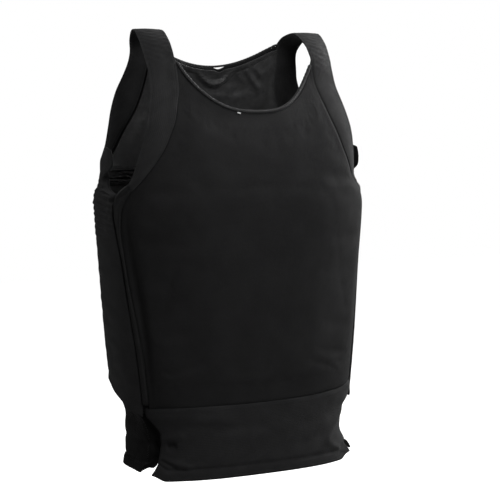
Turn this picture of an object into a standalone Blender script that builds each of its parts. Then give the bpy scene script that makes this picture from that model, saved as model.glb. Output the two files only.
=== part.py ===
"""Soft-armour vest in tank-top form, held in its worn shape.

Metres, +Z up, the front faces -Y and the wearer's left is +X. The origin lies midway between the
undersides of the two strap tops. "Drop" is the distance below the strap tops, positive downwards.

Every piece is cut from one body form. The form is a stack of rounded sections, and a point on it is
named by its turn round the body (psi, in radians: 0 at the front, a quarter turn at the wearer's
left, a half turn at the back) and its drop.
"""

import math
from collections import namedtuple

import bpy
from mathutils import Vector

NAME = "bulletproof_tank_top"

# Cloth and padding
STRAP_CLOTH = 0.0025
SIDE_CLOTH = 0.0020
BAND_CLOTH = 0.0022
HEM_CLOTH = 0.0034
LINING_CLOTH = 0.0015
STRIP_CLOTH = 0.0034
PANEL_MIDDLE = 0.0095
PANEL_EDGE = 0.0035
PANEL_SINK = 0.0018
SEAM_GAP = 0.0008
LINING_GAP = 0.0018

# A soft bump along a line: nothing up to rise, whole from full to fall, nothing past end
Ramp = namedtuple("Ramp", "rise full fall end")

# Padding of the panels: the share of their width and height over which it fades to each edge
PAD_FADE_SIDE = 0.12
PAD_FADE_FOOT = 0.10
PAD_FADE_TOP = 0.12

# Crease along the armour's edge, on the front: its place as a share of the panel's half width
ARMOUR_EDGE_SHARE = 0.932
CREASE_DEPTH = 0.0022
CREASE_WIDTH = 0.045
CREASE_DROPS = Ramp(0.240, 0.275, 0.495, 0.530)

# Creases across the strap below the shoulder, by length along it from its top, and its slight bow
STRAP_RIBS = Ramp(0.012, 0.022, 0.068, 0.078)
STRAP_RIB_PITCH = 0.0132
STRAP_RIB_HEIGHT = 0.0007
STRAP_RIB_ROWS = 0.34
STRAP_BOW = 0.0012

# Gathers across the side panel, in the upper rows of its grid
SIDE_RIBS = 3
SIDE_RIB_HEIGHT = 0.0007
SIDE_UPPER_ROWS = 0.50
SIDE_UPPER_HEIGHT = 0.24

# Main drops
FRONT_NECK_DROP = 0.1190
FRONT_KINK_DROP = 0.0460
FRONT_KINK_X = 0.1100
FRONT_NECK_POWER = 2.7
REAR_NECK_DROP = 0.0478
REAR_KINK_DROP = 0.0120
REAR_KINK_X = 0.1065
REAR_NECK_POWER = 2.0
FRONT_WAIST_DROP = 0.5340
REAR_WAIST_DROP = 0.5040
HEM_DROP = 0.6400
HEM_HEIGHT = 0.0160
HEM_THICK_ROWS = 1.5

# Neck bindings
FRONT_BINDING_RADIUS = 0.0028
REAR_BINDING_RADIUS = 0.0018
FRONT_BINDING_END_X = 0.1070
REAR_BINDING_END_X = 0.1022
BINDING_POINTS = 25

# Tack under the front binding, as half its width, height and depth
TACK_X = -0.0294
TACK_HALF = (0.0023, 0.0016, 0.0008)

# Squareness of the body sections: 2 is an ellipse, more is boxier
SQUARENESS = 2.6

Section = namedtuple("Section", "drop half_width front rear")
BODY = (
    Section(0.000, 0.1700, 0.0000, 0.0000),
    Section(0.003, 0.1700, 0.0125, 0.0280),
    Section(0.010, 0.1700, 0.0270, 0.0480),
    Section(0.022, 0.1700, 0.0450, 0.0600),
    Section(0.045, 0.1760, 0.0615, 0.0665),
    Section(0.070, 0.1970, 0.0665, 0.0755),
    Section(0.095, 0.2090, 0.0775, 0.0830),
    Section(0.120, 0.2110, 0.0905, 0.0895),
    Section(0.145, 0.2100, 0.1005, 0.0940),
    Section(0.175, 0.2090, 0.1065, 0.0970),
    Section(0.250, 0.2080, 0.1140, 0.1000),
    Section(0.310, 0.2045, 0.1105, 0.1005),
    Section(0.360, 0.2010, 0.1070, 0.1005),
    Section(0.450, 0.1945, 0.1050, 0.0995),
    Section(0.505, 0.1890, 0.1045, 0.0970),
    Section(0.560, 0.1830, 0.1020, 0.0920),
)

# Hip bands: the half width near the hip vents and at the sides
Band = namedtuple("Band", "drop vent_width side_width front rear")
BAND = (
    Band(0.504, 0.1890, 0.1875, 0.1045, 0.0970),
    Band(0.520, 0.1870, 0.1810, 0.1035, 0.0955),
    Band(0.534, 0.1840, 0.1730, 0.1025, 0.0940),
    Band(0.549, 0.1800, 0.1665, 0.1015, 0.0925),
    Band(0.562, 0.1715, 0.1640, 0.1010, 0.0915),
    Band(0.576, 0.1660, 0.1640, 0.1005, 0.0910),
    Band(0.592, 0.1645, 0.1645, 0.1000, 0.0905),
    Band(0.606, 0.1680, 0.1660, 0.1000, 0.0905),
    Band(0.622, 0.1750, 0.1685, 0.1000, 0.0920),
    Band(0.640, 0.1850, 0.1720, 0.1000, 0.0940),
)

# Where the front panel ends at each side, and the side seam beyond its edge strip
PanelEdge = namedtuple("PanelEdge", "drop x")
FRONT_PANEL_EDGE = (
    PanelEdge(0.045, 0.1100),
    PanelEdge(0.060, 0.1085),
    PanelEdge(0.080, 0.1098),
    PanelEdge(0.105, 0.1160),
    PanelEdge(0.130, 0.1235),
    PanelEdge(0.150, 0.1325),
    PanelEdge(0.172, 0.1430),
    PanelEdge(0.192, 0.1560),
    PanelEdge(0.212, 0.1705),
    PanelEdge(0.228, 0.1835),
    PanelEdge(0.245, 0.1915),
    PanelEdge(0.262, 0.1950),
    PanelEdge(0.285, 0.1955),
    PanelEdge(0.334, 0.1900),
    PanelEdge(0.376, 0.1843),
    PanelEdge(0.421, 0.1770),
    PanelEdge(0.465, 0.1705),
    PanelEdge(0.515, 0.1648),
    PanelEdge(0.550, 0.1625),
)
SIDE_SEAM = (
    PanelEdge(0.232, 0.2005),
    PanelEdge(0.245, 0.2030),
    PanelEdge(0.262, 0.2030),
    PanelEdge(0.285, 0.2005),
    PanelEdge(0.334, 0.1938),
    PanelEdge(0.376, 0.1888),
    PanelEdge(0.421, 0.1832),
    PanelEdge(0.465, 0.1778),
    PanelEdge(0.515, 0.1725),
    PanelEdge(0.560, 0.1690),
)
REAR_PANEL_EDGE = (
    PanelEdge(0.012, 0.1046),
    PanelEdge(0.030, 0.1066),
    PanelEdge(0.060, 0.1077),
    PanelEdge(0.088, 0.1125),
    PanelEdge(0.114, 0.1220),
    PanelEdge(0.141, 0.1390),
    PanelEdge(0.168, 0.1560),
    PanelEdge(0.188, 0.1687),
    PanelEdge(0.199, 0.1742),
    PanelEdge(0.205, 0.1780),
    PanelEdge(0.212, 0.1806),
    PanelEdge(0.230, 0.1860),
    PanelEdge(0.250, 0.1895),
    PanelEdge(0.334, 0.1850),
    PanelEdge(0.420, 0.1780),
    PanelEdge(0.505, 0.1720),
)
REAR_SIDE_SEAM = (
    PanelEdge(0.158, 0.1705),
    PanelEdge(0.168, 0.1735),
    PanelEdge(0.184, 0.1796),
    PanelEdge(0.196, 0.1806),
    PanelEdge(0.212, 0.1823),
    PanelEdge(0.230, 0.1871),
    PanelEdge(0.250, 0.1905),
    PanelEdge(0.334, 0.1860),
    PanelEdge(0.420, 0.1790),
    PanelEdge(0.505, 0.1730),
    PanelEdge(0.560, 0.1700),
)

# Shoulder strap, from the front crescent's tip over the shoulder to the rear one's.
# Way is 1 on the front, -1 on the rear. Inner is the side next to the panels, outer is the armhole.
StrapRow = namedtuple("StrapRow", "way inner_drop inner_x outer_drop outer_x")
STRAP = (
    StrapRow(1, 0.2235, 0.1805, 0.2165, 0.1875),
    StrapRow(1, 0.2120, 0.1714, 0.2060, 0.1835),
    StrapRow(1, 0.1920, 0.1569, 0.1880, 0.1780),
    StrapRow(1, 0.1720, 0.1439, 0.1690, 0.1722),
    StrapRow(1, 0.1500, 0.1334, 0.1480, 0.1660),
    StrapRow(1, 0.1300, 0.1243, 0.1280, 0.1612),
    StrapRow(1, 0.1050, 0.1168, 0.1050, 0.1555),
    StrapRow(1, 0.0800, 0.1106, 0.0800, 0.1500),
    StrapRow(1, 0.0600, 0.1100, 0.0600, 0.1495),
    StrapRow(1, 0.0450, 0.1108, 0.0450, 0.1507),
    StrapRow(1, 0.0200, 0.1100, 0.0200, 0.1520),
    StrapRow(1, 0.0000, 0.1070, 0.0000, 0.1515),
    StrapRow(-1, 0.0120, 0.1058, 0.0120, 0.1430),
    StrapRow(-1, 0.0300, 0.1078, 0.0300, 0.1385),
    StrapRow(-1, 0.0600, 0.1088, 0.0600, 0.1445),
    StrapRow(-1, 0.0880, 0.1133, 0.0880, 0.1552),
    StrapRow(-1, 0.1140, 0.1228, 0.1120, 0.1610),
    StrapRow(-1, 0.1410, 0.1398, 0.1380, 0.1650),
    StrapRow(-1, 0.1680, 0.1568, 0.1640, 0.1705),
    StrapRow(-1, 0.1880, 0.1695, 0.1840, 0.1784),
    StrapRow(-1, 0.1985, 0.1750, 0.1955, 0.1795),
)

# Strip along the front panel's side edge, from the underarm down
StripRow = namedtuple("StripRow", "inner_drop inner_x outer_drop outer_x")
STRIP = (
    StripRow(0.2275, 0.1842, 0.2195, 0.1895),
    StripRow(0.2370, 0.1893, 0.2265, 0.1960),
    StripRow(0.2480, 0.1935, 0.2370, 0.2012),
    StripRow(0.2620, 0.1960, 0.2520, 0.2024),
    StripRow(0.2850, 0.1965, 0.2850, 0.1996),
    StripRow(0.3340, 0.1910, 0.3340, 0.1929),
    StripRow(0.3760, 0.1853, 0.3760, 0.1880),
    StripRow(0.4210, 0.1780, 0.4210, 0.1824),
    StripRow(0.4650, 0.1715, 0.4650, 0.1770),
    StripRow(0.5150, 0.1658, 0.5150, 0.1717),
    StripRow(0.5332, 0.1642, 0.5332, 0.1703),
)

# Above the side seam the side panel's front edge is free: a notch, then a lobe that reaches forwards
LipRow = namedtuple("LipRow", "drop degrees")
SIDE_LIP = (
    LipRow(0.160, 82.0),
    LipRow(0.170, 78.5),
    LipRow(0.185, 75.5),
    LipRow(0.195, 77.0),
    LipRow(0.205, 83.0),
    LipRow(0.213, 85.8),
    LipRow(0.222, 85.5),
    LipRow(0.230, 80.5),
    LipRow(0.2345, 73.0),
)

# Top edge of the side panel: share is 0 at the lobe and 1 at the rear seam
TopRow = namedtuple("TopRow", "share drop")
SIDE_TOP = (
    TopRow(0.00, 0.1710),
    TopRow(0.10, 0.1675),
    TopRow(0.25, 0.1645),
    TopRow(0.50, 0.1615),
    TopRow(0.75, 0.1592),
    TopRow(1.00, 0.1580),
)

# How far the side panel is drawn in by its gathers: at the most across it, and at its front edge
DrawRow = namedtuple("DrawRow", "drop across lip")
SIDE_DRAW = (
    DrawRow(0.157, 0.0240, 0.0060),
    DrawRow(0.165, 0.0175, 0.0048),
    DrawRow(0.175, 0.0135, 0.0035),
    DrawRow(0.185, 0.0115, 0.0028),
    DrawRow(0.200, 0.0105, 0.0028),
    DrawRow(0.215, 0.0090, 0.0028),
    DrawRow(0.224, 0.0065, 0.0025),
    DrawRow(0.231, 0.0020, 0.0010),
    DrawRow(0.237, 0.0000, 0.0000),
)
DRAW_LEAN = 1.3

# Side panel's gathers fade in over this share of the upper rows
SIDE_RIB_FADE = 0.10

# On the wearer's left the front corner of the armhole is tucked in
TuckRow = namedtuple("TuckRow", "drop inwards")
LEFT_TUCK = (
    TuckRow(0.140, 0.0000),
    TuckRow(0.152, 0.0015),
    TuckRow(0.167, 0.0050),
    TuckRow(0.182, 0.0076),
    TuckRow(0.197, 0.0105),
    TuckRow(0.212, 0.0130),
    TuckRow(0.223, 0.0090),
    TuckRow(0.232, 0.0035),
    TuckRow(0.242, 0.0010),
    TuckRow(0.250, 0.0000),
)
TUCK_DEGREES = Ramp(25, 62, 73, 76)

# Where the panels end and the hip bands begin, by degrees from the front
LowRow = namedtuple("LowRow", "degrees drop")
SIDE_LOW = (
    LowRow(60, 0.5500),
    LowRow(66, 0.5480),
    LowRow(80, 0.5350),
    LowRow(90, 0.5220),
    LowRow(96, 0.5110),
    LowRow(104, 0.5050),
    LowRow(120, REAR_WAIST_DROP),
    LowRow(180, REAR_WAIST_DROP),
)

# Free edges of the two hip bands at the vent
VentRow = namedtuple("VentRow", "drop front_x back_x")
VENT = (
    VentRow(0.530, 0.1695, 0.1750),
    VentRow(0.549, 0.1648, 0.1690),
    VentRow(0.556, 0.1585, 0.1635),
    VentRow(0.565, 0.1515, 0.1570),
    VentRow(0.576, 0.1458, 0.1530),
    VentRow(0.591, 0.1450, 0.1520),
    VentRow(0.605, 0.1478, 0.1545),
    VentRow(0.617, 0.1515, 0.1590),
    VentRow(0.624, 0.1545, 0.1655),
    VentRow(0.632, 0.1600, 0.1720),
)

# The bands are drawn in behind the vents, between these turns
DRAWN_IN_DEGREES = (62, 88)

# The front hem rises near its corners; the back one is higher all round
FRONT_HEM_CORNER_RISE = 0.0075
FRONT_HEM_CORNER_SHARE = 0.09
BACK_HEM_DROP = 0.6290

# On the wearer's left the back band's hem stands out at the vent
LEFT_HEM_FLARE = 0.010
LEFT_HEM_FLARE_TOP = 0.600
LEFT_HEM_FLARE_DEGREES = Ramp(50, 62, 80, 130)

# The grid's columns are spaced on the panels as the sine of an angle that runs this far each way
COLUMN_DEGREES = 58

# Passes that settle a drop and a turn that depend on each other
PASSES = 6

# Grid sizes, across and along each piece
PANEL_GRID = (20, 24)
BACK_GRID = (18, 20)
LINING_GRID = (18, 10)
STRAP_GRID = (4, 46)
SIDE_GRID = (8, 26)
STRIP_GRID = (2, 22)
FRONT_BAND_GRID = (22, 8)
BACK_BAND_GRID = (32, 8)


def smooth(rows, key, column, at):
    """Smooth value of a table's column at a value of its key column, held level past both ends."""
    keys = [getattr(row, key) for row in rows]
    values = [getattr(row, column) for row in rows]
    if at <= keys[0]:
        return values[0]
    if at >= keys[-1]:
        return values[-1]
    i = next(n for n in range(len(keys) - 1) if at <= keys[n + 1])
    return hermite(keys, values, i, at)


def hermite(keys, values, i, at):
    """Cubic between rows i and i + 1 that never overshoots them."""
    last = len(keys) - 1

    def chord(n):
        return (values[n + 1] - values[n]) / (keys[n + 1] - keys[n])

    def slope(n):
        if n == 0:
            return chord(0)
        if n == last:
            return chord(last - 1)
        before, after = chord(n - 1), chord(n)
        if before * after <= 0:
            return 0.0
        return 2 * before * after / (before + after)

    width = keys[i + 1] - keys[i]
    t = (at - keys[i]) / width
    near = values[i] * (1 + 2 * t) * (1 - t) ** 2 + slope(i) * width * t * (1 - t) ** 2
    far = values[i + 1] * t * t * (3 - 2 * t) + slope(i + 1) * width * t * t * (t - 1)
    return near + far


def step(low, high, at):
    """0 below low, 1 above high and smooth between."""
    t = min(max((at - low) / (high - low), 0.0), 1.0)
    return t * t * (3 - 2 * t)


def bump(ramp, at):
    """1 between the ramp's full and fall, and 0 outside its rise and end."""
    return step(ramp.rise, ramp.full, at) * step(ramp.end, ramp.fall, at)


def mix(a, b, t):
    return a + (b - a) * t


def power(value, exponent):
    """Power that keeps the sign."""
    return math.copysign(abs(value) ** exponent, value)


def tuck(psi, drop):
    """How far the wearer's left is drawn in at this turn, by the tuck at the armhole's front corner."""
    return smooth(LEFT_TUCK, "drop", "inwards", drop) * bump(TUCK_DEGREES, math.degrees(psi))


def body_half_width(psi, drop):
    return smooth(BODY, "drop", "half_width", drop) - tuck(psi, drop)


def band_half_width(psi, drop):
    """Full width as far as the vents, drawn in at the sides and back."""
    at_side = step(*DRAWN_IN_DEGREES, abs(math.degrees(psi)))
    at_vent = smooth(BAND, "drop", "vent_width", drop)
    drawn_in = smooth(BAND, "drop", "side_width", drop)
    flare = LEFT_HEM_FLARE * step(LEFT_HEM_FLARE_TOP, BACK_HEM_DROP, drop)
    return mix(at_vent, drawn_in, at_side) + flare * bump(LEFT_HEM_FLARE_DEGREES, math.degrees(psi))


def section_point(psi, drop, half_width, rows):
    """Point on the rounded section at this drop."""
    share = 2 / SQUARENESS
    column = "front" if math.cos(psi) > 0 else "rear"
    depth = smooth(rows, "drop", column, drop)
    x = half_width(psi, drop) * power(math.sin(psi), share)
    y = -depth * power(math.cos(psi), share)
    return Vector((x, y, STRAP_CLOTH - drop))


def lifted(point, a, b, lift):
    """The surface point(a, b), moved out along its normal by lift."""
    small = 1e-4
    across = point(a + small, b) - point(a - small, b)
    down = point(a, b + small) - point(a, b - small)
    return point(a, b) + down.cross(across).normalized() * lift


def on_body(psi, drop, lift=0.0):
    def point(a, b):
        return section_point(a, b, body_half_width, BODY)

    return lifted(point, psi, drop, lift)


def on_band(psi, drop, lift=0.0):
    def point(a, b):
        return section_point(a, b, band_half_width, BAND)

    return lifted(point, psi, drop, lift)


def psi_at(x, half_width, rear=False):
    """Turn round the body of the point x metres from the middle, for x at or above 0."""
    psi = math.asin(min(x / half_width, 1.0) ** (SQUARENESS / 2))
    return math.pi - psi if rear else psi


def body_psi(x, drop, rear=False):
    return psi_at(x, smooth(BODY, "drop", "half_width", drop), rear)


def band_psi(x, drop):
    return psi_at(x, smooth(BAND, "drop", "vent_width", drop))


def front_neck_drop(x):
    rise = FRONT_NECK_DROP - FRONT_KINK_DROP
    return FRONT_NECK_DROP - rise * (abs(x) / FRONT_KINK_X) ** FRONT_NECK_POWER


def rear_neck_drop(x):
    rise = REAR_NECK_DROP - REAR_KINK_DROP
    return REAR_NECK_DROP - rise * (abs(x) / REAR_KINK_X) ** REAR_NECK_POWER


def below_binding(neck_drop, radius, x):
    """Drop of a panel's neck edge, clear of the binding that runs along neck_drop."""
    small = 1e-4
    slope = (neck_drop(x + small) - neck_drop(x - small)) / (2 * small)
    return neck_drop(x) + (radius + SEAM_GAP) * math.hypot(1, slope)


def crossing(edge, neck, share, low, high):
    """Drop at which the line that keeps this share of the panel's width meets the neck edge."""
    for _ in range(40):
        middle = (low + high) / 2
        if middle < neck(share * smooth(edge, "drop", "x", middle)):
            low = middle
        else:
            high = middle
    return (low + high) / 2


def spread(u):
    """Share of the half width, -1 to 1, with the columns a little closer near the edges."""
    reach = math.radians(COLUMN_DEGREES)
    return math.sin((2 * u - 1) * reach) / math.sin(reach)


def padding(u, v):
    """0 at the panel's edges and 1 over its padded middle."""
    return step(0, PAD_FADE_SIDE, min(u, 1 - u)) * step(0, PAD_FADE_FOOT, v) * step(0, PAD_FADE_TOP, 1 - v)


def armour_crease(share, drop):
    """Depth of the crease at this share of the front panel's half width."""
    off = (abs(share) - ARMOUR_EDGE_SHARE) / CREASE_WIDTH
    return CREASE_DEPTH * math.exp(-(off**2)) * bump(CREASE_DROPS, drop)


def front_panel_point(u, v):
    share = spread(u)

    def neck(x):
        return below_binding(front_neck_drop, FRONT_BINDING_RADIUS, x)

    top = crossing(FRONT_PANEL_EDGE, neck, abs(share), FRONT_KINK_DROP, 0.16)
    drop = mix(FRONT_WAIST_DROP, top, v)
    x = share * smooth(FRONT_PANEL_EDGE, "drop", "x", drop)
    psi = math.copysign(body_psi(abs(x), drop), x)
    sink = PANEL_SINK * (1 - padding(u, v)) + armour_crease(share, drop)
    return on_body(psi, drop, -sink)


def rear_place(u, v, sink):
    share = -spread(u)

    def neck(x):
        return below_binding(rear_neck_drop, REAR_BINDING_RADIUS, x)

    top = crossing(REAR_PANEL_EDGE, neck, abs(share), REAR_KINK_DROP, 0.08)
    drop = mix(REAR_WAIST_DROP, top, v)
    x = share * smooth(REAR_PANEL_EDGE, "drop", "x", drop)
    psi = math.copysign(body_psi(abs(x), drop, rear=True), x)
    return on_body(psi, drop, -sink)


def back_panel_point(u, v):
    return rear_place(u, v, PANEL_SINK * (1 - padding(u, v)))


def back_lining_point(u, v):
    """Follows the back panel's inner face, a gap further in."""
    pad = padding(u, v)
    thickness = mix(PANEL_EDGE + PANEL_SINK, PANEL_MIDDLE, pad)
    return rear_place(u, v, thickness + LINING_GAP)


def strap_path():
    """The strap's path seen from the side, as rows of (length from the ridge, depth, drop)."""
    knots = [(row.rear, row.drop, -1) for row in reversed(BODY[1:])]
    knots += [(row.front, row.drop, 1) for row in BODY]
    places = [0.0]
    for before, after in zip(knots, knots[1:]):
        run = before[2] * before[0] - after[2] * after[0]
        places.append(places[-1] + math.hypot(run, before[1] - after[1]))
    depths = [way * depth for depth, _, way in knots]
    drops = [drop for _, drop, _ in knots]
    ridge = places[len(BODY) - 1]
    rows = []
    for i in range(len(places) - 1):
        for k in range(12):
            at = mix(places[i], places[i + 1], k / 12)
            rows.append((at - ridge, hermite(places, depths, i, at), hermite(places, drops, i, at)))
    return rows


PATH = strap_path()


def path_at(length):
    """(depth, drop) on the strap's path; length is positive down the front."""
    for before, after in zip(PATH, PATH[1:]):
        if before[0] <= length <= after[0]:
            t = (length - before[0]) / (after[0] - before[0])
            return mix(before[1], after[1], t), mix(before[2], after[2], t)
    raise ValueError("length lies off the strap's path")


def length_at(way, drop):
    """Path length at a drop on the front (way 1) or rear (way -1)."""
    side = [row for row in PATH if row[0] * way >= 0]
    side.sort(key=lambda row: row[2])
    for before, after in zip(side, side[1:]):
        if before[2] <= drop <= after[2]:
            t = (drop - before[2]) / (after[2] - before[2])
            return mix(before[0], after[0], t)
    return 0.0


StrapStation = namedtuple("StrapStation", "middle inner_length inner_x outer_length outer_x")


def strap_stations():
    """STRAP with each drop turned into a length along the path, rear tip first."""
    stations = []
    for row in reversed(STRAP):
        inner = length_at(row.way, row.inner_drop)
        outer = length_at(row.way, row.outer_drop)
        stations.append(StrapStation((inner + outer) / 2, inner, row.inner_x, outer, row.outer_x))
    return stations


STATIONS = strap_stations()


def strap_length(v):
    """Path length of a row, with STRAP_RIB_ROWS of the rows in the creased stretch."""
    front, rear = STATIONS[-1].middle, STATIONS[0].middle
    top, foot = STRAP_RIBS.rise, STRAP_RIBS.end
    plain_rows = 1 - STRAP_RIB_ROWS
    lower_rows = plain_rows * (front - foot) / (front - foot + top - rear)
    upper_rows = plain_rows - lower_rows
    if v < lower_rows:
        return mix(front, foot, v / lower_rows)
    if v < lower_rows + STRAP_RIB_ROWS:
        return mix(foot, top, (v - lower_rows) / STRAP_RIB_ROWS)
    return mix(rear, top, (1 - v) / upper_rows)


def strap_point(u, v, side):
    """Point on the strap; u runs from its inner edge (0) to its outer one, v from front tip to rear tip."""
    middle = strap_length(v)
    at = StrapStation(*(smooth(STATIONS, "middle", column, middle) for column in StrapStation._fields))
    length = mix(at.inner_length, at.outer_length, u)
    x = mix(at.inner_x, at.outer_x, u)

    def point(a, b):
        depth, drop = path_at(b)
        half_width = smooth(BODY, "drop", "half_width", drop)
        shape = (1 - (a / half_width) ** SQUARENESS) ** (1 / SQUARENESS)
        taken_in = tuck(psi_at(a, half_width), drop) if side > 0 and b > 0 else 0.0
        return Vector((a * (1 - taken_in / half_width), -depth * shape, STRAP_CLOTH - drop))

    rib = STRAP_RIB_HEIGHT * bump(STRAP_RIBS, middle) * math.sin(2 * math.pi * middle / STRAP_RIB_PITCH)
    placed = lifted(point, x, length, rib + STRAP_BOW * math.sin(math.pi * u))
    return Vector((side * placed.x, placed.y, placed.z))


def strip_row(v):
    """The strip's own row, between those of its table: v is 0 at the waist and 1 at the underarm."""
    last = len(STRIP) - 1
    at = (1 - v) * last
    i = min(int(at), last - 1)
    places = range(last + 1)
    return StripRow(*(hermite(places, column, i, at) for column in zip(*STRIP)))


def strip_point(u, v, side):
    """Point on the edge strip; u runs from its inner edge (0) to its outer one (1)."""
    row = strip_row(v)
    inner_psi = body_psi(row.inner_x, row.inner_drop)
    outer_psi = body_psi(row.outer_x, row.outer_drop)
    drop = mix(row.inner_drop, row.outer_drop, u)
    return on_body(side * mix(inner_psi, outer_psi, u), drop)


def side_height(v):
    """Share of the side panel's height at a row, with the rows closer together near its top."""
    lower = 1 - SIDE_UPPER_ROWS
    if v < lower:
        return v / lower * (1 - SIDE_UPPER_HEIGHT)
    return 1 - (1 - v) / SIDE_UPPER_ROWS * SIDE_UPPER_HEIGHT


def side_panel_point(u, v, side):
    """Point on the side panel; u runs from front seam (0) to rear seam, v from its foot to its lip."""

    def psi(drop):
        if drop < SIDE_LIP[-1].drop:
            front = math.radians(smooth(SIDE_LIP, "drop", "degrees", drop))
        else:
            front = body_psi(smooth(SIDE_SEAM, "drop", "x", drop), drop)
        rear = body_psi(smooth(REAR_SIDE_SEAM, "drop", "x", drop), drop, rear=True)
        return mix(front, rear, u)

    low = REAR_WAIST_DROP
    for _ in range(PASSES):
        low = smooth(SIDE_LOW, "degrees", "drop", math.degrees(psi(low)))
    drop = mix(low, smooth(SIDE_TOP, "share", "drop", u), side_height(v))
    up = (v - 1 + SIDE_UPPER_ROWS) / SIDE_UPPER_ROWS
    wave = math.sin(2 * math.pi * SIDE_RIBS * up) * math.sin(math.pi * u)
    rib = SIDE_RIB_HEIGHT * wave * step(0, SIDE_RIB_FADE, up)
    drawn = smooth(SIDE_DRAW, "drop", "across", drop) * math.sin(math.pi * u**DRAW_LEAN)
    drawn += smooth(SIDE_DRAW, "drop", "lip", drop) * (1 - u) ** 2
    return on_body(side * psi(drop), drop, rib - drawn)


def band_drop(v, hem, top, rows):
    """Drop of a band's row, from hem (v 0) to top (v 1), with the first row on the hem's stitching."""
    share = 1 / rows
    if v <= share:
        return mix(hem, hem - HEM_HEIGHT, v / share)
    return mix(hem - HEM_HEIGHT, top, (v - share) / (1 - share))


def front_band_point(u, v):
    hem = HEM_DROP - FRONT_HEM_CORNER_RISE * step(FRONT_HEM_CORNER_SHARE, 0, min(u, 1 - u))
    drop = band_drop(v, hem, FRONT_WAIST_DROP + SEAM_GAP, FRONT_BAND_GRID[1])
    edge = band_psi(smooth(VENT, "drop", "front_x", drop), drop)
    return on_band(mix(-edge, edge, u), drop)


def back_band_point(u, v):
    def psi(drop):
        edge = band_psi(smooth(VENT, "drop", "back_x", drop), drop)
        return mix(edge, 2 * math.pi - edge, u)

    def folded(angle):
        return angle if angle <= math.pi else angle - 2 * math.pi

    top = REAR_WAIST_DROP
    for _ in range(PASSES):
        top = smooth(SIDE_LOW, "degrees", "drop", abs(math.degrees(folded(psi(top))))) + SEAM_GAP
    drop = band_drop(v, BACK_HEM_DROP, top, BACK_BAND_GRID[1])
    return on_band(folded(psi(drop)), drop)


def sided(place, side):
    """The same piece on the wearer's left (1) or right (-1), with its faces still outwards."""
    if side > 0:
        return lambda u, v: place(u, v, 1)
    return lambda u, v: place(1 - u, v, -1)


def fabric(name, colour, roughness):
    material = bpy.data.materials.new(name)
    material.use_nodes = True
    shader = material.node_tree.nodes["Principled BSDF"]
    shader.inputs["Base Color"].default_value = (*colour, 1.0)
    shader.inputs["Roughness"].default_value = roughness
    shader.inputs["Metallic"].default_value = 0.0
    return material


def finish(obj, name, material):
    obj.name = name
    obj.data.name = name
    obj.data.materials.append(material)
    for collection in obj.users_collection:
        collection.objects.unlink(obj)
    PARTS.objects.link(obj)


def sheet(name, grid, place, cloth, material, edge_cloth=None, weight=None):
    """Closed sheet: a grid laid over place(u, v) and thickened inwards.

    With edge_cloth, the thickness runs from edge_cloth where weight(u, v) is 0 to cloth where it is 1.
    """
    bpy.ops.mesh.primitive_grid_add(x_subdivisions=grid[0], y_subdivisions=grid[1], size=1)
    obj = bpy.context.object
    places = [(vertex.co.x + 0.5, vertex.co.y + 0.5) for vertex in obj.data.vertices]
    for vertex, (u, v) in zip(obj.data.vertices, places):
        vertex.co = place(u, v)
    solidify = obj.modifiers.new("cloth", "SOLIDIFY")
    solidify.thickness = cloth
    solidify.offset = -1
    solidify.use_quality_normals = True
    if weight:
        group = obj.vertex_groups.new(name="thick")
        for vertex, (u, v) in zip(obj.data.vertices, places):
            group.add([vertex.index], weight(u, v), "REPLACE")
        solidify.vertex_group = group.name
        solidify.thickness_vertex_group = edge_cloth / cloth
    obj.data.shade_smooth()
    obj.data.set_sharp_from_angle(angle=math.radians(50))
    finish(obj, name, material)


def binding(name, xs, place, radius, material):
    """Rolled binding: a tube through the points place(x)."""
    curve = bpy.data.curves.new(name, "CURVE")
    curve.dimensions = "3D"
    curve.bevel_depth = radius
    curve.bevel_resolution = 1
    curve.use_fill_caps = True
    spline = curve.splines.new("POLY")
    spline.points.add(len(xs) - 1)
    for point, x in zip(spline.points, xs):
        point.co = (*place(x), 1.0)
    obj = bpy.data.objects.new(name, curve)
    bpy.context.scene.collection.objects.link(obj)
    finish(obj, name, material)


def evenly(end):
    return [mix(-end, end, n / (BINDING_POINTS - 1)) for n in range(BINDING_POINTS)]


def front_binding_place(x):
    drop = front_neck_drop(x)
    return on_body(math.copysign(body_psi(abs(x), drop), x), drop, -PANEL_SINK)


def rear_binding_place(x):
    drop = rear_neck_drop(x)
    return on_body(math.copysign(body_psi(abs(x), drop, rear=True), x), drop, -PANEL_SINK)


def tack(name, material):
    """Flat rounded knot of thread on the front panel, just under the binding."""
    width, height, depth = TACK_HALF
    drop = below_binding(front_neck_drop, FRONT_BINDING_RADIUS, TACK_X) + height
    psi = -body_psi(abs(TACK_X), drop)
    bpy.ops.mesh.primitive_uv_sphere_add(segments=12, ring_count=6, radius=1)
    obj = bpy.context.object
    obj.location = on_body(psi, drop, depth + SEAM_GAP / 2 - PANEL_SINK)
    obj.scale = (width, depth, height)
    obj.data.shade_smooth()
    finish(obj, name, material)


def hem_weight(u, v):
    """1 on the hem's rows and 0 above them."""
    return 1.0 if v * FRONT_BAND_GRID[1] < HEM_THICK_ROWS else 0.0


for old in list(bpy.data.objects):
    bpy.data.objects.remove(old, do_unlink=True)
PARTS = bpy.data.collections.new(NAME)
bpy.context.scene.collection.children.link(PARTS)

CARRIER = fabric("carrier_cloth", (0.012, 0.012, 0.014), 0.80)
STRETCH = fabric("stretch_cloth", (0.018, 0.018, 0.020), 0.88)
STRAPPING = fabric("strap_cloth", (0.024, 0.024, 0.026), 0.85)
TRIM = fabric("binding_cloth", (0.020, 0.020, 0.022), 0.70)
INNER = fabric("lining_cloth", (0.010, 0.010, 0.011), 0.75)
THREAD = fabric("tack_thread", (0.300, 0.300, 0.300), 0.70)

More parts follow.
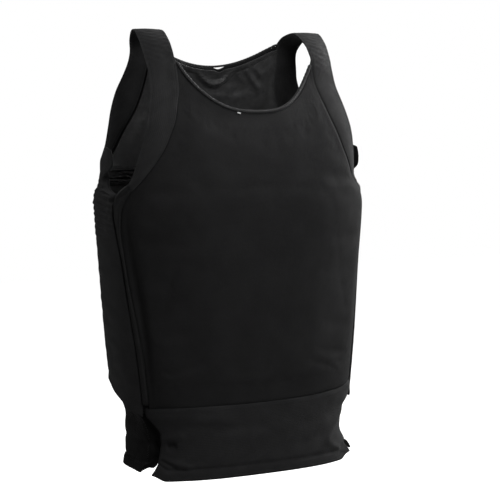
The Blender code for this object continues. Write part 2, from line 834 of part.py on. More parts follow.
sheet("front_panel", PANEL_GRID, front_panel_point, PANEL_MIDDLE, CARRIER, PANEL_EDGE, padding)
sheet("back_panel", BACK_GRID, back_panel_point, PANEL_MIDDLE, CARRIER, PANEL_EDGE, padding)
sheet("back_lining", LINING_GRID, back_lining_point, LINING_CLOTH, INNER)
for word, way in (("right", -1), ("left", 1)):
    sheet(f"shoulder_strap_{word}", STRAP_GRID, sided(strap_point, way), STRAP_CLOTH, STRAPPING)
    sheet(f"front_edge_strip_{word}", STRIP_GRID, sided(strip_point, way), STRIP_CLOTH, TRIM)
    sheet(f"side_panel_{word}", SIDE_GRID, sided(side_panel_point, way), SIDE_CLOTH, STRETCH)
sheet("front_waistband", FRONT_BAND_GRID, front_band_point, HEM_CLOTH, STRETCH, BAND_CLOTH, hem_weight)
sheet("back_waistband", BACK_BAND_GRID, back_band_point, HEM_CLOTH, STRETCH, BAND_CLOTH, hem_weight)
binding("neck_binding_front", evenly(FRONT_BINDING_END_X), front_binding_place, FRONT_BINDING_RADIUS, TRIM)
binding("neck_binding_back", evenly(REAR_BINDING_END_X), rear_binding_place, REAR_BINDING_RADIUS, TRIM)
tack("neck_tack", THREAD)
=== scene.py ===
# %% [markdown]
# # A black soft-armour vest in tank-top form
#
# The vest is sewn from a few kinds of black cloth. Two padded panels hold the soft armour, front and
# back. Broad straps run over the shoulders and on as crescents along the armholes. Stretch cloth joins
# the panels at the sides, and a hip band hangs below them, open at each hip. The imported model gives
# every piece its place, so this script only has to make each one look like the real cloth.

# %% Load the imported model
import math
from collections import namedtuple

import bpy
import numpy as np
from mathutils import Matrix, Vector, noise


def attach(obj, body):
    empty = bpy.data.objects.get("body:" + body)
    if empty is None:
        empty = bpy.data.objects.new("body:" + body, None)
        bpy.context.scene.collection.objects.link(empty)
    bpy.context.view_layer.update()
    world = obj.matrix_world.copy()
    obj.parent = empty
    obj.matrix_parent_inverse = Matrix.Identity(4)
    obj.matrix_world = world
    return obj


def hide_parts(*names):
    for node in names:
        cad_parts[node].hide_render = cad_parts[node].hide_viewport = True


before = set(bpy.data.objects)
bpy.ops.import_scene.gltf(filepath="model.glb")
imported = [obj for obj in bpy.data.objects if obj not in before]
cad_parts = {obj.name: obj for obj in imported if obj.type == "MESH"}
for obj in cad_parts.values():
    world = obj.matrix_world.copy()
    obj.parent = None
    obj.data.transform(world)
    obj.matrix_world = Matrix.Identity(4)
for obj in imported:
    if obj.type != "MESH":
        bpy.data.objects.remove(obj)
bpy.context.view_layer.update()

# %% [markdown]
# ## The camera
#
# A product photo like this one is taken from a few metres with a long lens, so the vest keeps its
# proportions. The camera stands on the wearer's right, a little above the middle of the vest, and is
# tilted by less than a degree.

# %% Camera
AZIMUTH = math.radians(-27.0)
ELEVATION = math.radians(4.32)
ROLL = math.radians(-0.69)
DISTANCE = 2.168
TARGET = Vector((0.0319, 0.0, -0.3219))
LENS_MM, SENSOR_MM = 104.1, 36.0
NEAREST_SEEN = 0.05

bpy.ops.object.select_all(action="DESELECT")
bpy.ops.object.camera_add()
camera = bpy.context.object
camera.name = "photo_camera"
camera.data.lens = LENS_MM
camera.data.sensor_width = SENSOR_MM
camera.data.clip_start = NEAREST_SEEN
towards_camera = Vector((
    math.sin(AZIMUTH) * math.cos(ELEVATION),
    -math.cos(AZIMUTH) * math.cos(ELEVATION),
    math.sin(ELEVATION),
))
camera.location = TARGET + towards_camera * DISTANCE
camera.rotation_mode = "QUATERNION"
aimed = (-towards_camera).to_track_quat("-Z", "Y").to_matrix()
rolled = aimed @ Matrix.Rotation(ROLL, 3, "Z")
camera.rotation_quaternion = rolled.to_quaternion()
bpy.context.scene.camera = camera
print("camera at", [round(c, 3) for c in camera.location])

# %% [markdown]
# ## Light and floor
#
# Black cloth shows its shape only where light grazes it. So the white ground is white for the camera
# alone and adds little light. Soft lamps do the rest: one just above the neck in front, which leaves the
# lower half darker, two on the wearer's left, of which the stronger stands further back, one behind on
# the right and a weak one overhead. The floor lies well below the hem, because the vest hangs from its
# straps.

# %% World and lamps
WHITE = (1.0, 1.0, 1.0, 1.0)
ROOM_LIGHT, GROUND_WHITE = 0.02, 1.0
LAMP_AIM = Vector((0.0, 0.0, -0.32))


def white_for_camera(tree, strength):
    """Sets a strength to white where the camera looks and to the dim room light elsewhere."""
    paths = tree.nodes.new("ShaderNodeLightPath")
    level = tree.nodes.new("ShaderNodeMapRange")
    level.inputs["To Min"].default_value = ROOM_LIGHT
    level.inputs["To Max"].default_value = GROUND_WHITE
    tree.links.new(paths.outputs["Is Camera Ray"], level.inputs["Value"])
    tree.links.new(level.outputs["Result"], strength)


def soft_lamp(name, place, size, watts):
    """Square area lamp that looks at the middle of the vest."""
    bpy.ops.object.select_all(action="DESELECT")
    bpy.ops.object.light_add(type="AREA", location=place)
    lamp = bpy.context.object
    lamp.name = name
    lamp.data.size = size
    lamp.data.energy = watts
    lamp.rotation_euler = (LAMP_AIM - lamp.location).to_track_quat("-Z", "Y").to_euler()
    print(name, watts, "watts")


scene = bpy.context.scene
scene.view_settings.view_transform = "Standard"
world = bpy.data.worlds.new("studio")
scene.world = world
world.use_nodes = True
ground = world.node_tree.nodes["Background"]
ground.inputs["Color"].default_value = WHITE
white_for_camera(world.node_tree, ground.inputs["Strength"])

soft_lamp("front_lamp", (0.04, -0.86, 0.33), 0.5, 11.4)
soft_lamp("key_lamp", (2.0, -1.4, 0.9), 1.2, 25.0)
soft_lamp("left_lamp", (2.2, 0.4, 0.9), 1.2, 98.0)
soft_lamp("right_lamp", (-1.5, 0.9, 0.9), 0.8, 20.5)
soft_lamp("top_lamp", (0.1, 0.1, 1.9), 1.2, 3.0)

# %% The floor
FLOOR_SIZE, FLOOR_HEIGHT = 12.0, -0.95
FLOOR_GREY, FLOOR_ROUGHNESS = (0.45, 0.45, 0.45, 1.0), 0.9


def new_material(name):
    """A new material, with its nodes and its shader."""
    material = bpy.data.materials.new(name)
    material.use_nodes = True
    return material, material.node_tree, material.node_tree.nodes["Principled BSDF"]


bpy.ops.object.select_all(action="DESELECT")
bpy.ops.mesh.primitive_plane_add(size=FLOOR_SIZE, location=(0.0, 0.0, FLOOR_HEIGHT))
floor = bpy.context.object
floor.name = "floor"
floor_cloth, floor_tree, floor_shader = new_material("pale_floor")
floor_shader.inputs["Base Color"].default_value = FLOOR_GREY
floor_shader.inputs["Roughness"].default_value = FLOOR_ROUGHNESS
floor_shader.inputs["Emission Color"].default_value = WHITE
white_for_camera(floor_tree, floor_shader.inputs["Emission Strength"])
floor.data.materials.append(floor_cloth)
print("floor at", FLOOR_HEIGHT)

# %% [markdown]
# ## The body form
#
# Every piece lies on one body form: a stack of rounded sections. A point on it is named by its turn
# round the body (psi, 0 in front and a half turn at the back) and by its drop below the strap tops.
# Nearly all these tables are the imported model's own, so the cloth lies where its solid is. Only the
# hems, the strap's front tip and the side cloth's top edge differ, by up to a centimetre.

# %% Tables of the body form
STRAP_CLOTH = 0.0025
SIDE_CLOTH = 0.0020
BAND_CLOTH = 0.0022
HEM_CLOTH = 0.0034
LINING_CLOTH = 0.0015
STRIP_CLOTH = 0.0034
PANEL_MIDDLE = 0.0095
PANEL_EDGE = 0.0035
PANEL_SINK = 0.0018
SEAM_GAP = 0.0008
LINING_GAP = 0.0018
PAD_FADE = 0.12
FOOT_FADE = 0.10
FRONT_NECK_DROP, FRONT_KINK_DROP, FRONT_KINK_X, FRONT_NECK_POWER = 0.1190, 0.0460, 0.1100, 2.7
REAR_NECK_DROP, REAR_KINK_DROP, REAR_KINK_X, REAR_NECK_POWER = 0.0478, 0.0120, 0.1065, 2.0
FRONT_WAIST_DROP = 0.5340
REAR_WAIST_DROP = 0.5040
HEM_DROP = 0.6412
HEM_HEIGHT = 0.0160
BACK_HEM_DROP = 0.6312
FRONT_HEM_CORNER_RISE = 0.0075
FRONT_HEM_CORNER_SHARE = 0.09
SQUARENESS = 2.6
Ramp = namedtuple("Ramp", "rise full fall end")


def rows(kind, *values):
    """A table whose rows are all of one kind."""
    return tuple(kind(*row) for row in values)


Section = namedtuple("Section", "drop half_width front rear")
BODY = rows(
    Section,
    (0.000, 0.1700, 0.0000, 0.0000),
    (0.003, 0.1700, 0.0125, 0.0280),
    (0.010, 0.1700, 0.0270, 0.0480),
    (0.022, 0.1700, 0.0450, 0.0600),
    (0.045, 0.1760, 0.0615, 0.0665),
    (0.070, 0.1970, 0.0665, 0.0755),
    (0.095, 0.2090, 0.0775, 0.0830),
    (0.120, 0.2110, 0.0905, 0.0895),
    (0.145, 0.2100, 0.1005, 0.0940),
    (0.175, 0.2090, 0.1065, 0.0970),
    (0.250, 0.2080, 0.1140, 0.1000),
    (0.310, 0.2045, 0.1105, 0.1005),
    (0.360, 0.2010, 0.1070, 0.1005),
    (0.450, 0.1945, 0.1050, 0.0995),
    (0.505, 0.1890, 0.1045, 0.0970),
    (0.560, 0.1830, 0.1020, 0.0920),
)
Band = namedtuple("Band", "drop vent_width side_width front rear")
BAND = rows(
    Band,
    (0.504, 0.1890, 0.1875, 0.1045, 0.0970),
    (0.520, 0.1870, 0.1810, 0.1035, 0.0955),
    (0.534, 0.1840, 0.1730, 0.1025, 0.0940),
    (0.549, 0.1800, 0.1665, 0.1015, 0.0925),
    (0.562, 0.1715, 0.1640, 0.1010, 0.0915),
    (0.576, 0.1660, 0.1640, 0.1005, 0.0910),
    (0.592, 0.1645, 0.1645, 0.1000, 0.0905),
    (0.606, 0.1680, 0.1660, 0.1000, 0.0905),
    (0.622, 0.1750, 0.1685, 0.1000, 0.0920),
    (0.640, 0.1850, 0.1720, 0.1000, 0.0940),
)
print("box of the body form:", max(row.half_width for row in BODY) * 2, "wide and", HEM_DROP, "high")

# %% Tables of the seams
Edge = namedtuple("Edge", "drop x")
FRONT_PANEL_EDGE = rows(
    Edge,
    (0.045, 0.1100), (0.060, 0.1085), (0.080, 0.1098), (0.105, 0.1160),
    (0.130, 0.1235), (0.150, 0.1325), (0.172, 0.1430), (0.192, 0.1560),
    (0.212, 0.1705), (0.228, 0.1835), (0.245, 0.1915), (0.262, 0.1950),
    (0.285, 0.1955), (0.334, 0.1900), (0.376, 0.1843), (0.421, 0.1770),
    (0.465, 0.1705), (0.515, 0.1648), (0.550, 0.1625),
)
SIDE_SEAM = rows(
    Edge,
    (0.232, 0.2005), (0.245, 0.2030), (0.262, 0.2030), (0.285, 0.2005),
    (0.334, 0.1938), (0.376, 0.1888), (0.421, 0.1832), (0.465, 0.1778),
    (0.515, 0.1725), (0.560, 0.1690),
)
REAR_PANEL_EDGE = rows(
    Edge,
    (0.012, 0.1046), (0.030, 0.1066), (0.060, 0.1077), (0.088, 0.1125),
    (0.114, 0.1220), (0.141, 0.1390), (0.168, 0.1560), (0.188, 0.1687),
    (0.199, 0.1742), (0.205, 0.1780), (0.212, 0.1806), (0.230, 0.1860),
    (0.250, 0.1895), (0.334, 0.1850), (0.420, 0.1780), (0.505, 0.1720),
)
REAR_SIDE_SEAM = rows(
    Edge,
    (0.158, 0.1705), (0.168, 0.1735), (0.184, 0.1796), (0.196, 0.1806),
    (0.212, 0.1823), (0.230, 0.1871), (0.250, 0.1905), (0.334, 0.1860),
    (0.420, 0.1790), (0.505, 0.1730), (0.560, 0.1700),
)
StrapRow = namedtuple("StrapRow", "way inner_drop inner_x outer_drop outer_x")
STRAP = rows(
    StrapRow,
    (1, 0.2300, 0.1856, 0.2222, 0.1912),
    (1, 0.2235, 0.1805, 0.2165, 0.1875),
    (1, 0.2120, 0.1714, 0.2060, 0.1835),
    (1, 0.1920, 0.1569, 0.1880, 0.1780),
    (1, 0.1720, 0.1439, 0.1690, 0.1722),
    (1, 0.1500, 0.1334, 0.1480, 0.1660),
    (1, 0.1300, 0.1243, 0.1280, 0.1612),
    (1, 0.1050, 0.1168, 0.1050, 0.1555),
    (1, 0.0800, 0.1106, 0.0800, 0.1500),
    (1, 0.0600, 0.1100, 0.0600, 0.1495),
    (1, 0.0450, 0.1108, 0.0450, 0.1507),
    (1, 0.0200, 0.1100, 0.0200, 0.1520),
    (1, 0.0000, 0.1070, 0.0000, 0.1515),
    (-1, 0.0120, 0.1058, 0.0120, 0.1430),
    (-1, 0.0300, 0.1078, 0.0300, 0.1385),
    (-1, 0.0600, 0.1088, 0.0600, 0.1445),
    (-1, 0.0880, 0.1133, 0.0880, 0.1552),
    (-1, 0.1140, 0.1228, 0.1120, 0.1610),
    (-1, 0.1410, 0.1398, 0.1380, 0.1650),
    (-1, 0.1680, 0.1568, 0.1640, 0.1705),
    (-1, 0.1880, 0.1695, 0.1840, 0.1784),
    (-1, 0.1985, 0.1750, 0.1955, 0.1795),
)
StripRow = namedtuple("StripRow", "inner_drop inner_x outer_drop outer_x")
STRIP = rows(
    StripRow,
    (0.2275, 0.1842, 0.2195, 0.1895),
    (0.2370, 0.1893, 0.2265, 0.1960),
    (0.2480, 0.1935, 0.2370, 0.2012),
    (0.2620, 0.1960, 0.2520, 0.2024),
    (0.2850, 0.1965, 0.2850, 0.1996),
    (0.3340, 0.1910, 0.3340, 0.1929),
    (0.3760, 0.1853, 0.3760, 0.1880),
    (0.4210, 0.1780, 0.4210, 0.1824),
    (0.4650, 0.1715, 0.4650, 0.1770),
    (0.5150, 0.1658, 0.5150, 0.1717),
    (0.5332, 0.1642, 0.5332, 0.1703),
)
Lip = namedtuple("Lip", "drop degrees")
SIDE_LIP = rows(
    Lip,
    (0.160, 82.0), (0.170, 78.5), (0.185, 75.5), (0.195, 77.0), (0.205, 83.0),
    (0.213, 85.8), (0.222, 85.5), (0.230, 80.5), (0.2345, 73.0),
)
Top = namedtuple("Top", "share drop")
SIDE_TOP = rows(
    Top,
    (0.00, 0.1710), (0.10, 0.1690), (0.25, 0.1680),
    (0.50, 0.1675), (0.75, 0.1675), (1.00, 0.1680),
)
Draw = namedtuple("Draw", "drop across lip")
SIDE_DRAW = rows(
    Draw,
    (0.157, 0.0190, 0.0060), (0.165, 0.0160, 0.0048), (0.175, 0.0135, 0.0035),
    (0.185, 0.0115, 0.0028), (0.200, 0.0105, 0.0028), (0.215, 0.0090, 0.0028),
    (0.224, 0.0065, 0.0025), (0.231, 0.0020, 0.0010), (0.237, 0.0000, 0.0000),
)
DRAW_LEAN = 1.3
Tuck = namedtuple("Tuck", "drop inwards")
LEFT_TUCK = rows(
    Tuck,
    (0.140, 0.0000), (0.152, 0.0015), (0.167, 0.0050), (0.182, 0.0076),
    (0.197, 0.0105), (0.212, 0.0130), (0.223, 0.0090), (0.232, 0.0035),
    (0.242, 0.0010), (0.250, 0.0000),
)
TUCK_DEGREES = Ramp(25, 62, 73, 76)
Low = namedtuple("Low", "degrees drop")
SIDE_LOW = rows(
    Low,
    (60, 0.5500), (66, 0.5480), (80, 0.5350), (90, 0.5220), (96, 0.5110),
    (104, 0.5050), (120, REAR_WAIST_DROP), (180, REAR_WAIST_DROP),
)
Vent = namedtuple("Vent", "drop front_x back_x")
VENT = rows(
    Vent,
    (0.530, 0.1695, 0.1750), (0.549, 0.1648, 0.1690), (0.556, 0.1585, 0.1635),
    (0.565, 0.1515, 0.1570), (0.576, 0.1458, 0.1530), (0.591, 0.1450, 0.1520),
    (0.605, 0.1478, 0.1545), (0.617, 0.1515, 0.1590), (0.624, 0.1545, 0.1655),
    (0.632, 0.1600, 0.1720),
)
DRAWN_IN_DEGREES = (62, 88)
LEFT_HEM_FLARE = 0.010
LEFT_HEM_FLARE_TOP = 0.600
LEFT_HEM_FLARE_DEGREES = Ramp(50, 62, 80, 130)
print("seams:", len(FRONT_PANEL_EDGE) + len(SIDE_SEAM) + len(REAR_PANEL_EDGE), "points in front and behind")

# %% Smooth curves through a table
def hermite(keys, values, at):
    """Cubic through the points that never overshoots them, held level past both ends."""
    keys, values = np.asarray(keys, float), np.asarray(values, float)
    chords = np.diff(values) / np.diff(keys)
    before, after = chords[:-1], chords[1:]
    same_way = before * after > 0
    mean = np.where(same_way, 2 * before * after / np.where(same_way, before + after, 1.0), 0.0)
    slopes = np.concatenate(([chords[0]], mean, [chords[-1]]))
    at = np.clip(at, keys[0], keys[-1])
    i = np.clip(np.searchsorted(keys, at) - 1, 0, len(keys) - 2)
    width = keys[i + 1] - keys[i]
    t = (at - keys[i]) / width
    near = values[i] * (1 + 2 * t) * (1 - t) ** 2 + slopes[i] * width * t * (1 - t) ** 2
    far = values[i + 1] * t * t * (3 - 2 * t) + slopes[i + 1] * width * t * t * (t - 1)
    return near + far


def smooth(table, key, column, at):
    """A table's column as a smooth curve over its key column."""
    return hermite([getattr(row, key) for row in table], [getattr(row, column) for row in table], at)


def step(low, high, at):
    t = np.clip((at - low) / (high - low), 0.0, 1.0)
    return t * t * (3 - 2 * t)


def bump(ramp, at):
    """1 between the ramp's full and fall, and 0 outside its rise and end."""
    return step(ramp.rise, ramp.full, at) * step(ramp.end, ramp.fall, at)


def mix(a, b, t):
    return a + (b - a) * t


def arch(t, exponent=1.0):
    """0 at both ends of 0 to 1, and 1 in the middle."""
    return np.sin(math.pi * np.clip(t, 0, 1)) ** exponent


print("half width at the chest:", float(smooth(BODY, "drop", "half_width", 0.25)))

# %% Points on the body form
def tuck(psi, drop):
    return smooth(LEFT_TUCK, "drop", "inwards", drop) * bump(TUCK_DEGREES, np.degrees(psi))


def body_half_width(psi, drop):
    return smooth(BODY, "drop", "half_width", drop) - tuck(psi, drop)


def band_half_width(psi, drop):
    at_side = step(*DRAWN_IN_DEGREES, np.abs(np.degrees(psi)))
    at_vent = smooth(BAND, "drop", "vent_width", drop)
    drawn_in = smooth(BAND, "drop", "side_width", drop)
    flare = LEFT_HEM_FLARE * step(LEFT_HEM_FLARE_TOP, BACK_HEM_DROP, drop)
    return mix(at_vent, drawn_in, at_side) + flare * bump(LEFT_HEM_FLARE_DEGREES, np.degrees(psi))


def power(value, exponent):
    return np.sign(value) * np.abs(value) ** exponent


def section_point(psi, drop, half_width, sections):
    share = 2 / SQUARENESS
    front, rear = (smooth(sections, "drop", column, drop) for column in ("front", "rear"))
    depth = np.where(np.cos(psi) > 0, front, rear)
    x = half_width(psi, drop) * power(np.sin(psi), share)
    y = -depth * power(np.cos(psi), share)
    return np.stack(np.broadcast_arrays(x, y, STRAP_CLOTH - drop), -1)


TINY = 1e-4


def lifted(point, a, b, lift):
    """The surface point(a, b), moved out along its normal by lift."""
    across = point(a + TINY, b) - point(a - TINY, b)
    down = point(a, b + TINY) - point(a, b - TINY)
    normal = np.cross(down, across)
    normal /= np.linalg.norm(normal, axis=-1, keepdims=True)
    return point(a, b) + normal * np.broadcast_to(lift, np.shape(a))[..., None]


def on_body(psi, drop, lift=0.0):
    return lifted(lambda a, b: section_point(a, b, body_half_width, BODY), psi, drop, lift)


def on_band(psi, drop, lift=0.0):
    return lifted(lambda a, b: section_point(a, b, band_half_width, BAND), psi, drop, lift)


def psi_at(x, half_width, rear=False):
    psi = np.arcsin(np.clip(x / half_width, 0.0, 1.0) ** (SQUARENESS / 2))
    return math.pi - psi if rear else psi


def body_psi(x, drop, rear=False):
    return psi_at(x, smooth(BODY, "drop", "half_width", drop), rear)


def band_psi(x, drop):
    return psi_at(x, smooth(BAND, "drop", "vent_width", drop))


def neck_curve(lowest, kink_drop, kink_x, exponent):
    """The neck's edge: its drop at x, lowest in the middle and kinked where it meets the strap."""
    return lambda x: lowest - (lowest - kink_drop) * (np.abs(x) / kink_x) ** exponent


front_neck_drop = neck_curve(FRONT_NECK_DROP, FRONT_KINK_DROP, FRONT_KINK_X, FRONT_NECK_POWER)
rear_neck_drop = neck_curve(REAR_NECK_DROP, REAR_KINK_DROP, REAR_KINK_X, REAR_NECK_POWER)


def below_binding(neck_drop, radius, x):
    slope = (neck_drop(x + TINY) - neck_drop(x - TINY)) / (2 * TINY)
    return neck_drop(x) + (radius + SEAM_GAP) * np.hypot(1, slope)


print("neck drops:", FRONT_NECK_DROP, "in front and", REAR_NECK_DROP, "behind")

# %% [markdown]
# ## Where each piece lies
#
# A pattern piece is a rectangle of u and v, from 0 to 1, laid on the body form between its seams. Real
# cloth isn't laid edge to edge: a sewn edge turns in under its neighbour and leaves a small groove. So
# each sewn edge here runs on by a millimetre and dips, while a free edge stays where it is.

# %% Sewn edges
FRONT_BINDING_RADIUS = 0.0028
REAR_BINDING_RADIUS = 0.0018
COLUMN_DEGREES = 58
PASSES = 6
HALVINGS = 40
SEAM_RUN = 0.0022
SEAM_WIDTH = 0.0026
Cut = namedtuple("Cut", "width height left right foot top dip")


def sewn(cut, u, v):
    """u and v with the sewn edges run on under their neighbours, and the depth of the groove there."""
    u = mix(-cut.left * SEAM_RUN / cut.width, 1 + cut.right * SEAM_RUN / cut.width, u)
    v = mix(-cut.foot * SEAM_RUN / cut.height, 1 + cut.top * SEAM_RUN / cut.height, v)
    away = np.full_like(u, SEAM_WIDTH)
    for is_sewn, distance in (
        (cut.left, u * cut.width), (cut.right, (1 - u) * cut.width),
        (cut.foot, v * cut.height), (cut.top, (1 - v) * cut.height),
    ):
        if is_sewn:
            away = np.minimum(away, distance)
    return u, v, cut.dip * (1 - step(-SEAM_RUN, SEAM_WIDTH, away))


def crossing(edge, neck, share, low, high):
    """Drop at which the line that keeps this share of the panel's width meets the neck edge."""
    low, high = np.full_like(share, low), np.full_like(share, high)
    for _ in range(HALVINGS):
        middle = (low + high) / 2
        above = middle < neck(share * smooth(edge, "drop", "x", middle))
        low, high = np.where(above, middle, low), np.where(above, high, middle)
    return (low + high) / 2


def spread(u):
    reach = math.radians(COLUMN_DEGREES)
    return np.sin((2 * u - 1) * reach) / math.sin(reach)


def padding(u, v):
    """0 at the panel's edges and 1 over its padded middle."""
    side = step(0, PAD_FADE, np.minimum(u, 1 - u))
    return side * step(0, FOOT_FADE, v) * step(0, PAD_FADE, 1 - v)


print("sewn edges run on by", SEAM_RUN * 1000, "mm")

# %% [markdown]
# ## Folds
#
# Cloth under a soft lamp is read by its folds. Each fold here is a short line on the vest, with its
# width and its height in metres: a ridge where the height is positive, a crease where it isn't. That
# keeps every fold at its real place and size, and one small table can hold a whole piece's folds.

# %% Folds and unevenness
Fold = namedtuple("Fold", "x drop to_x to_drop width height")
FOLD_START, FOLD_END = (-0.15, 0.2), (1.15, 0.8)
Bumps = namedtuple("Bumps", "height size seed")


def folded(folds, x, drop):
    """Sum of the folds at a place on the vest, each faded towards its two ends."""
    total = np.zeros_like(x)
    for fold in folds:
        run, fall = fold.to_x - fold.x, fold.to_drop - fold.drop
        length = math.hypot(run, fall)
        along = ((x - fold.x) * run + (drop - fold.drop) * fall) / length**2
        aside = ((x - fold.x) * fall - (drop - fold.drop) * run) / length
        ridge = fold.height * np.exp(-((aside / fold.width) ** 2))
        total += ridge * step(*FOLD_START, along) * step(*FOLD_END, along)
    return total


def uneven(bumps, x, drop, side=0):
    """Gentle unevenness up and down by the bumps' height. Each seed gives another pattern."""
    values = [
        noise.noise(Vector((a / bumps.size, b / bumps.size, bumps.seed + side)))
        for a, b in zip(np.ravel(x), np.ravel(drop))
    ]
    return bumps.height * np.reshape(values, np.shape(x))


print("a fold fades over", FOLD_START, "and", FOLD_END, "of its length")

# %% The two panels
FRONT_CUT = Cut(0.38, 0.42, True, True, True, True, 0.0005)
BACK_CUT = Cut(0.36, 0.45, True, True, True, True, 0.0010)
NECK_SLIT = Ramp(0.006, 0.010, 0.017, 0.021)
NECK_SLIT_HEIGHT = 0.0034
FRONT_NECK_SEARCH, REAR_NECK_SEARCH = (FRONT_KINK_DROP, 0.16), (REAR_KINK_DROP, 0.08)
LEFT_EDGE_SINK_SHARE, LEFT_EDGE_SHARES = 0.2, (0.80, 0.95)
LEFT_BULGE, LEFT_BULGE_SHARES = 0.0012, Ramp(0.70, 0.92, 0.975, 1.0)
LEFT_BULGE_FOOT, LEFT_BULGE_TOP = (0, 0.2), (1, 0.8)
FOLD_TOP_LIFT, FOLD_SIDE_SHARES, FOLD_TOP_SHARES = 0.8, (0.15, 0.05), Ramp(0.40, 0.60, 0.84, 0.94)
WAIST_DIP, WAIST_DIP_SHARE = 0.0004, 0.010
WAIST_RISE = 0.0110


def front_waist(u):
    """Drop of the waist seam in front, which is drawn up towards the wearer's left."""
    return FRONT_WAIST_DROP - WAIST_RISE * np.clip(2 * u - 1, 0, 1) ** 2


def front_panel_place(u, v):
    """Turn and drop of a point of the front panel."""
    share = spread(u)
    top = crossing(
        FRONT_PANEL_EDGE, lambda x: below_binding(front_neck_drop, FRONT_BINDING_RADIUS, x),
        np.abs(share), *FRONT_NECK_SEARCH,
    )
    drop = mix(front_waist(u), top, v)
    x = share * smooth(FRONT_PANEL_EDGE, "drop", "x", drop)
    return np.copysign(body_psi(np.abs(x), drop), x), drop


def front_cover_point(u, v, lift=0.0):
    u, v, dip = sewn(FRONT_CUT, u, v)
    psi, drop = front_panel_place(u, v)
    by_fold = step(*FOLD_SIDE_SHARES, np.minimum(u, 1 - u)) * bump(FOLD_TOP_SHARES, v)
    sink = PANEL_SINK * mix(1.0, LEFT_EDGE_SINK_SHARE, step(*LEFT_EDGE_SHARES, u)) * (1 - padding(u, v))
    sink *= 1 - FOLD_TOP_LIFT * by_fold
    bulge = LEFT_BULGE * bump(LEFT_BULGE_SHARES, u) * step(*LEFT_BULGE_FOOT, v) * step(*LEFT_BULGE_TOP, v)
    return on_body(psi, drop, lift + bulge - dip - sink - WAIST_DIP * step(WAIST_DIP_SHARE, 0, v))


def back_panel_place(u, v):
    """Turn and drop of a point of the back panel."""
    share = -spread(u)
    top = crossing(
        REAR_PANEL_EDGE, lambda x: below_binding(rear_neck_drop, REAR_BINDING_RADIUS, x),
        np.abs(share), *REAR_NECK_SEARCH,
    )
    top_x = share * smooth(REAR_PANEL_EDGE, "drop", "x", top)
    drop = mix(REAR_WAIST_DROP, top + NECK_SLIT_HEIGHT * bump(NECK_SLIT, top_x), v)
    x = share * smooth(REAR_PANEL_EDGE, "drop", "x", drop)
    return np.copysign(body_psi(np.abs(x), drop, rear=True), x), drop


def back_cover_point(u, v, lift=0.0):
    u, v, dip = sewn(BACK_CUT, u, v)
    psi, drop = back_panel_place(u, v)
    return on_body(psi, drop, lift - dip - PANEL_SINK * (1 - padding(u, v)))


def lining_point(u, v):
    psi, drop = back_panel_place(u, v)
    thickness = mix(PANEL_EDGE + PANEL_SINK, PANEL_MIDDLE, padding(u, v))
    x = section_point(psi, drop, body_half_width, BODY)[..., 0]
    return on_body(psi, drop, -(thickness + LINING_GAP + lining_folds(x, drop)))


print("panels:", FRONT_CUT.width, "and", BACK_CUT.width, "wide")

# %% The lining's folds
FACING_HEIGHT, FACING_SAG, FACING_SAG_X, FACING_SAG_REACH = 0.0100, 0.0140, 0.007, (0.032, 0.004)
FACING_CLOTH, FACING_EDGE_WIDTH = 0.0020, 0.0018
RIM_HEIGHT, RIM_WIDTH, RIM_REACH = 0.0070, 0.0029, 0.026
LINING_BUMPS = Bumps(0.0008, 0.012, 3.0)
LINING_FOLDS = rows(
    Fold,
    (0.044, 0.052, 0.056, 0.068, 0.0030, 0.0014),
    (0.056, 0.048, 0.084, 0.078, 0.0026, 0.0026),
    (0.074, 0.046, 0.086, 0.060, 0.0030, 0.0013),
    (0.030, 0.066, 0.040, 0.116, 0.0050, 0.0010),
    (0.052, 0.086, 0.050, 0.122, 0.0045, 0.0011),
    (0.000, 0.088, 0.060, 0.092, 0.0040, 0.0008),
    (-0.050, 0.070, -0.030, 0.100, 0.0060, 0.0014),
    (-0.176, 0.2290, -0.130, 0.2300, 0.0060, -0.0030),
    (0.176, 0.2290, 0.130, 0.2300, 0.0060, -0.0030),
)


def lining_folds(x, drop):
    """The loose facing under the neck, whose edge sags and rolls, and the folds below it."""
    sag = step(*FACING_SAG_REACH, np.abs(x - FACING_SAG_X))
    below = drop - (rear_neck_drop(x) + FACING_HEIGHT + FACING_SAG * sag)
    facing = FACING_CLOTH * (1 - step(-FACING_EDGE_WIDTH, 0, below))
    reach = np.exp(-(((x - FACING_SAG_X) / RIM_REACH) ** 4))
    rim = RIM_HEIGHT * np.exp(-((below / RIM_WIDTH) ** 2)) * reach
    return facing + rim + folded(LINING_FOLDS, x, drop) + uneven(LINING_BUMPS, x, drop)


print("folds in the lining:", len(LINING_FOLDS))

# %% [markdown]
# ## The gathered corners of the lining
#
# At the foot of each armhole the side seam takes the lining in, and it ruffles there into small folds,
# one above the other. The lining's own grid is too coarse for folds a millimetre wide, so each corner is
# a fine piece of its own, laid just clear of the lining and joined to it along its edges.

# %% The gathers at the armholes' feet
GATHERED_FROM, GATHERED_TO = Edge(0.1955, 0.104), Edge(0.2375, 0.186)
GATHERED_CLEAR, GATHERED_EDGE_CLEAR, GATHERED_LOWEST = 0.0012, -0.0006, -0.001
GATHERED_FADE_U, GATHERED_FADE_V = 0.12, 0.14
GATHERED_PADDING, GATHERED_PADDING_X = 0.0045, (0.1860, 0.1500)
GATHERED_WAVER = Bumps(0.0022, 0.009, 47.0)
GATHERED_FOLDS = rows(
    Fold,
    (0.176, 0.2018, 0.108, 0.2004, 0.00110, 0.0030),
    (0.168, 0.2096, 0.146, 0.2048, 0.00110, 0.0036),
    (0.148, 0.2058, 0.104, 0.2082, 0.00115, 0.0034),
    (0.178, 0.2126, 0.140, 0.2104, 0.00110, 0.0040),
    (0.150, 0.2104, 0.122, 0.2146, 0.00105, 0.0032),
    (0.180, 0.2166, 0.118, 0.2180, 0.00110, 0.0050),
    (0.178, 0.2200, 0.128, 0.2206, 0.00090, 0.0036),
    (0.184, 0.2290, 0.120, 0.2300, 0.00500, -0.0030),
)


